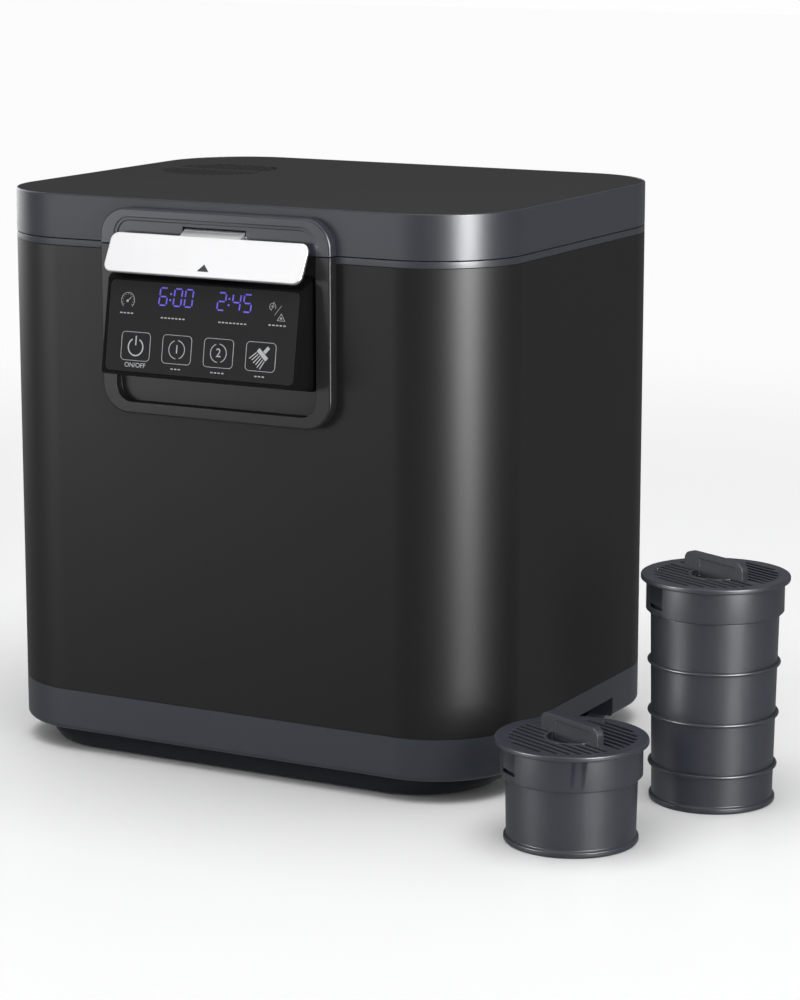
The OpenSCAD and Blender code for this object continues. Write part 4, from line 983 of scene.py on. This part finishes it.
print("a light 2 m to the right stands at", [round(v, 2) for v in round_about(90, 2.0, 0.5)])

# %% [markdown]
# Each light gets its bearing from the front with its distance and height,
# the point that it faces, its size and its watts, and then the pieces that
# it reaches or leaves out. The card for the flap reaches everything.

# %% Set the lights
SHEEN = (
    ("right_strip", (63, 1.9, 0.65), (0.1, -0.1, 0.2), (0.70, 1.3), 220.0, "EXCLUDE", ["control_glass"]),
    ("left_card", (-112, 2.4, 0.7), (-0.1, 0.0, 0.2), (2.2, 1.4), 34.0, "INCLUDE",
     ["body_shell", "top_frame", "base_ring", "lid_shell"]),
    ("flap_card", (-35, 1.8, 1.65), (0.0, -0.15, 0.3), (1.1, 0.9), 3.6, None, []),
    ("front_card", (-42, 2.4, 0.25), (0.1, -0.1, 0.15), (1.2, 0.5), 26.0, "INCLUDE",
     ["body_shell", "base_ring", "control_bezel", "lid_escutcheon"]),
    ("lid_card", (-28, 2.4, 0.3), (0.0, -0.1, 0.3), (2.0, 0.5), 17.0, "INCLUDE",
     ["lid_shell", "top_frame"]),
    ("filter_strip", (-38, 2.2, 0.5), (0.25, -0.1, 0.08), (0.4, 1.2), 210.0, "INCLUDE",
     ["tall_canister", "short_canister", "tall_cap", "short_cap"]),
)
soft_box("overhead", place=(0.1, -0.2, 2.4), aim=(0.1, 0.0, 0.2), width=2.2, height=2.2, watts=46.0)
for name, stand, aim, size, watts, state, reached in SHEEN:
    light = soft_box(name, round_about(*stand), aim, *size, watts, sheen_only=True)
    if state:
        linked(light, state, [soft[node] for node in reached])
print("lights", len(bpy.data.lights))

# %% [markdown]
# The world is white to the camera, weaker as a light and darker still to
# reflections, or the black surfaces would turn grey. The floor takes the
# shadow near the object and fades to nearly the same white further out, so
# no horizon shows.

# %% Backdrop and floor
FLOOR_COLOUR, FLOOR_ROUGHNESS = (0.93, 0.93, 0.935, 1), 0.45


def studio_world(fill, shown, mirrored):
    world = bpy.data.worlds.new("studio")
    bpy.context.scene.world = world
    world.use_nodes = True
    tree = world.node_tree
    back = tree.nodes["Background"]
    path = tree.nodes.new("ShaderNodeLightPath")
    seen = maths(tree, "MAXIMUM", path.outputs["Is Camera Ray"], path.outputs["Is Transmission Ray"])
    glossy = maths(tree, "MULTIPLY_ADD", path.outputs["Is Glossy Ray"], mirrored - fill, fill)
    back.inputs["Color"].default_value = (1.0, 1.0, 1.0, 1)
    tree.links.new(maths(tree, "MULTIPLY_ADD", seen, shown - fill, glossy), back.inputs["Strength"])


def glow_of(tree, value):
    glow = tree.nodes.new("ShaderNodeEmission")
    glow.inputs["Color"].default_value = (value, value, value, 1)
    return glow.outputs[0]


def shader_mix(tree, *values):
    mixer = tree.nodes.new("ShaderNodeMixShader")
    for socket, value in zip(mixer.inputs, values):
        tree.links.new(value, socket)
    return mixer.outputs[0]


def studio_floor(size, near, far, shown, mirrored):
    work = bmesh.new()
    bmesh.ops.create_grid(work, x_segments=1, y_segments=1, size=size)
    floor = placed("floor", finish_mesh(work, "floor"))
    material = bpy.data.materials.new("floor_white")
    material.use_nodes = True
    tree = material.node_tree
    shader = tree.nodes["Principled BSDF"]
    shader.inputs["Base Color"].default_value = FLOOR_COLOUR
    shader.inputs["Roughness"].default_value = FLOOR_ROUGHNESS
    where = tree.nodes.new("ShaderNodeTexCoord")
    reach = tree.nodes.new("ShaderNodeVectorMath")
    reach.operation = "LENGTH"
    tree.links.new(where.outputs["Object"], reach.inputs[0])
    fade = tree.nodes.new("ShaderNodeMapRange")
    fade.interpolation_type = "SMOOTHSTEP"
    tree.links.new(reach.outputs["Value"], fade.inputs["Value"])
    fade.inputs["From Min"].default_value = near
    fade.inputs["From Max"].default_value = far
    path = tree.nodes.new("ShaderNodeLightPath")
    ground = shader_mix(tree, fade.outputs["Result"], shader.outputs[0], glow_of(tree, shown))
    # a mirror-like reflection finds a darker room than the eye does
    seen = shader_mix(tree, path.outputs["Is Glossy Ray"], ground, glow_of(tree, mirrored))
    tree.links.new(seen, tree.nodes["Material Output"].inputs["Surface"])
    wear(floor, material)


studio_world(fill=0.57, shown=0.99, mirrored=0.16)
studio_floor(size=9.0, near=0.45, far=1.6, shown=0.97, mirrored=0.25)
bpy.context.scene.view_settings.view_transform = "Standard"
print("studio ready")
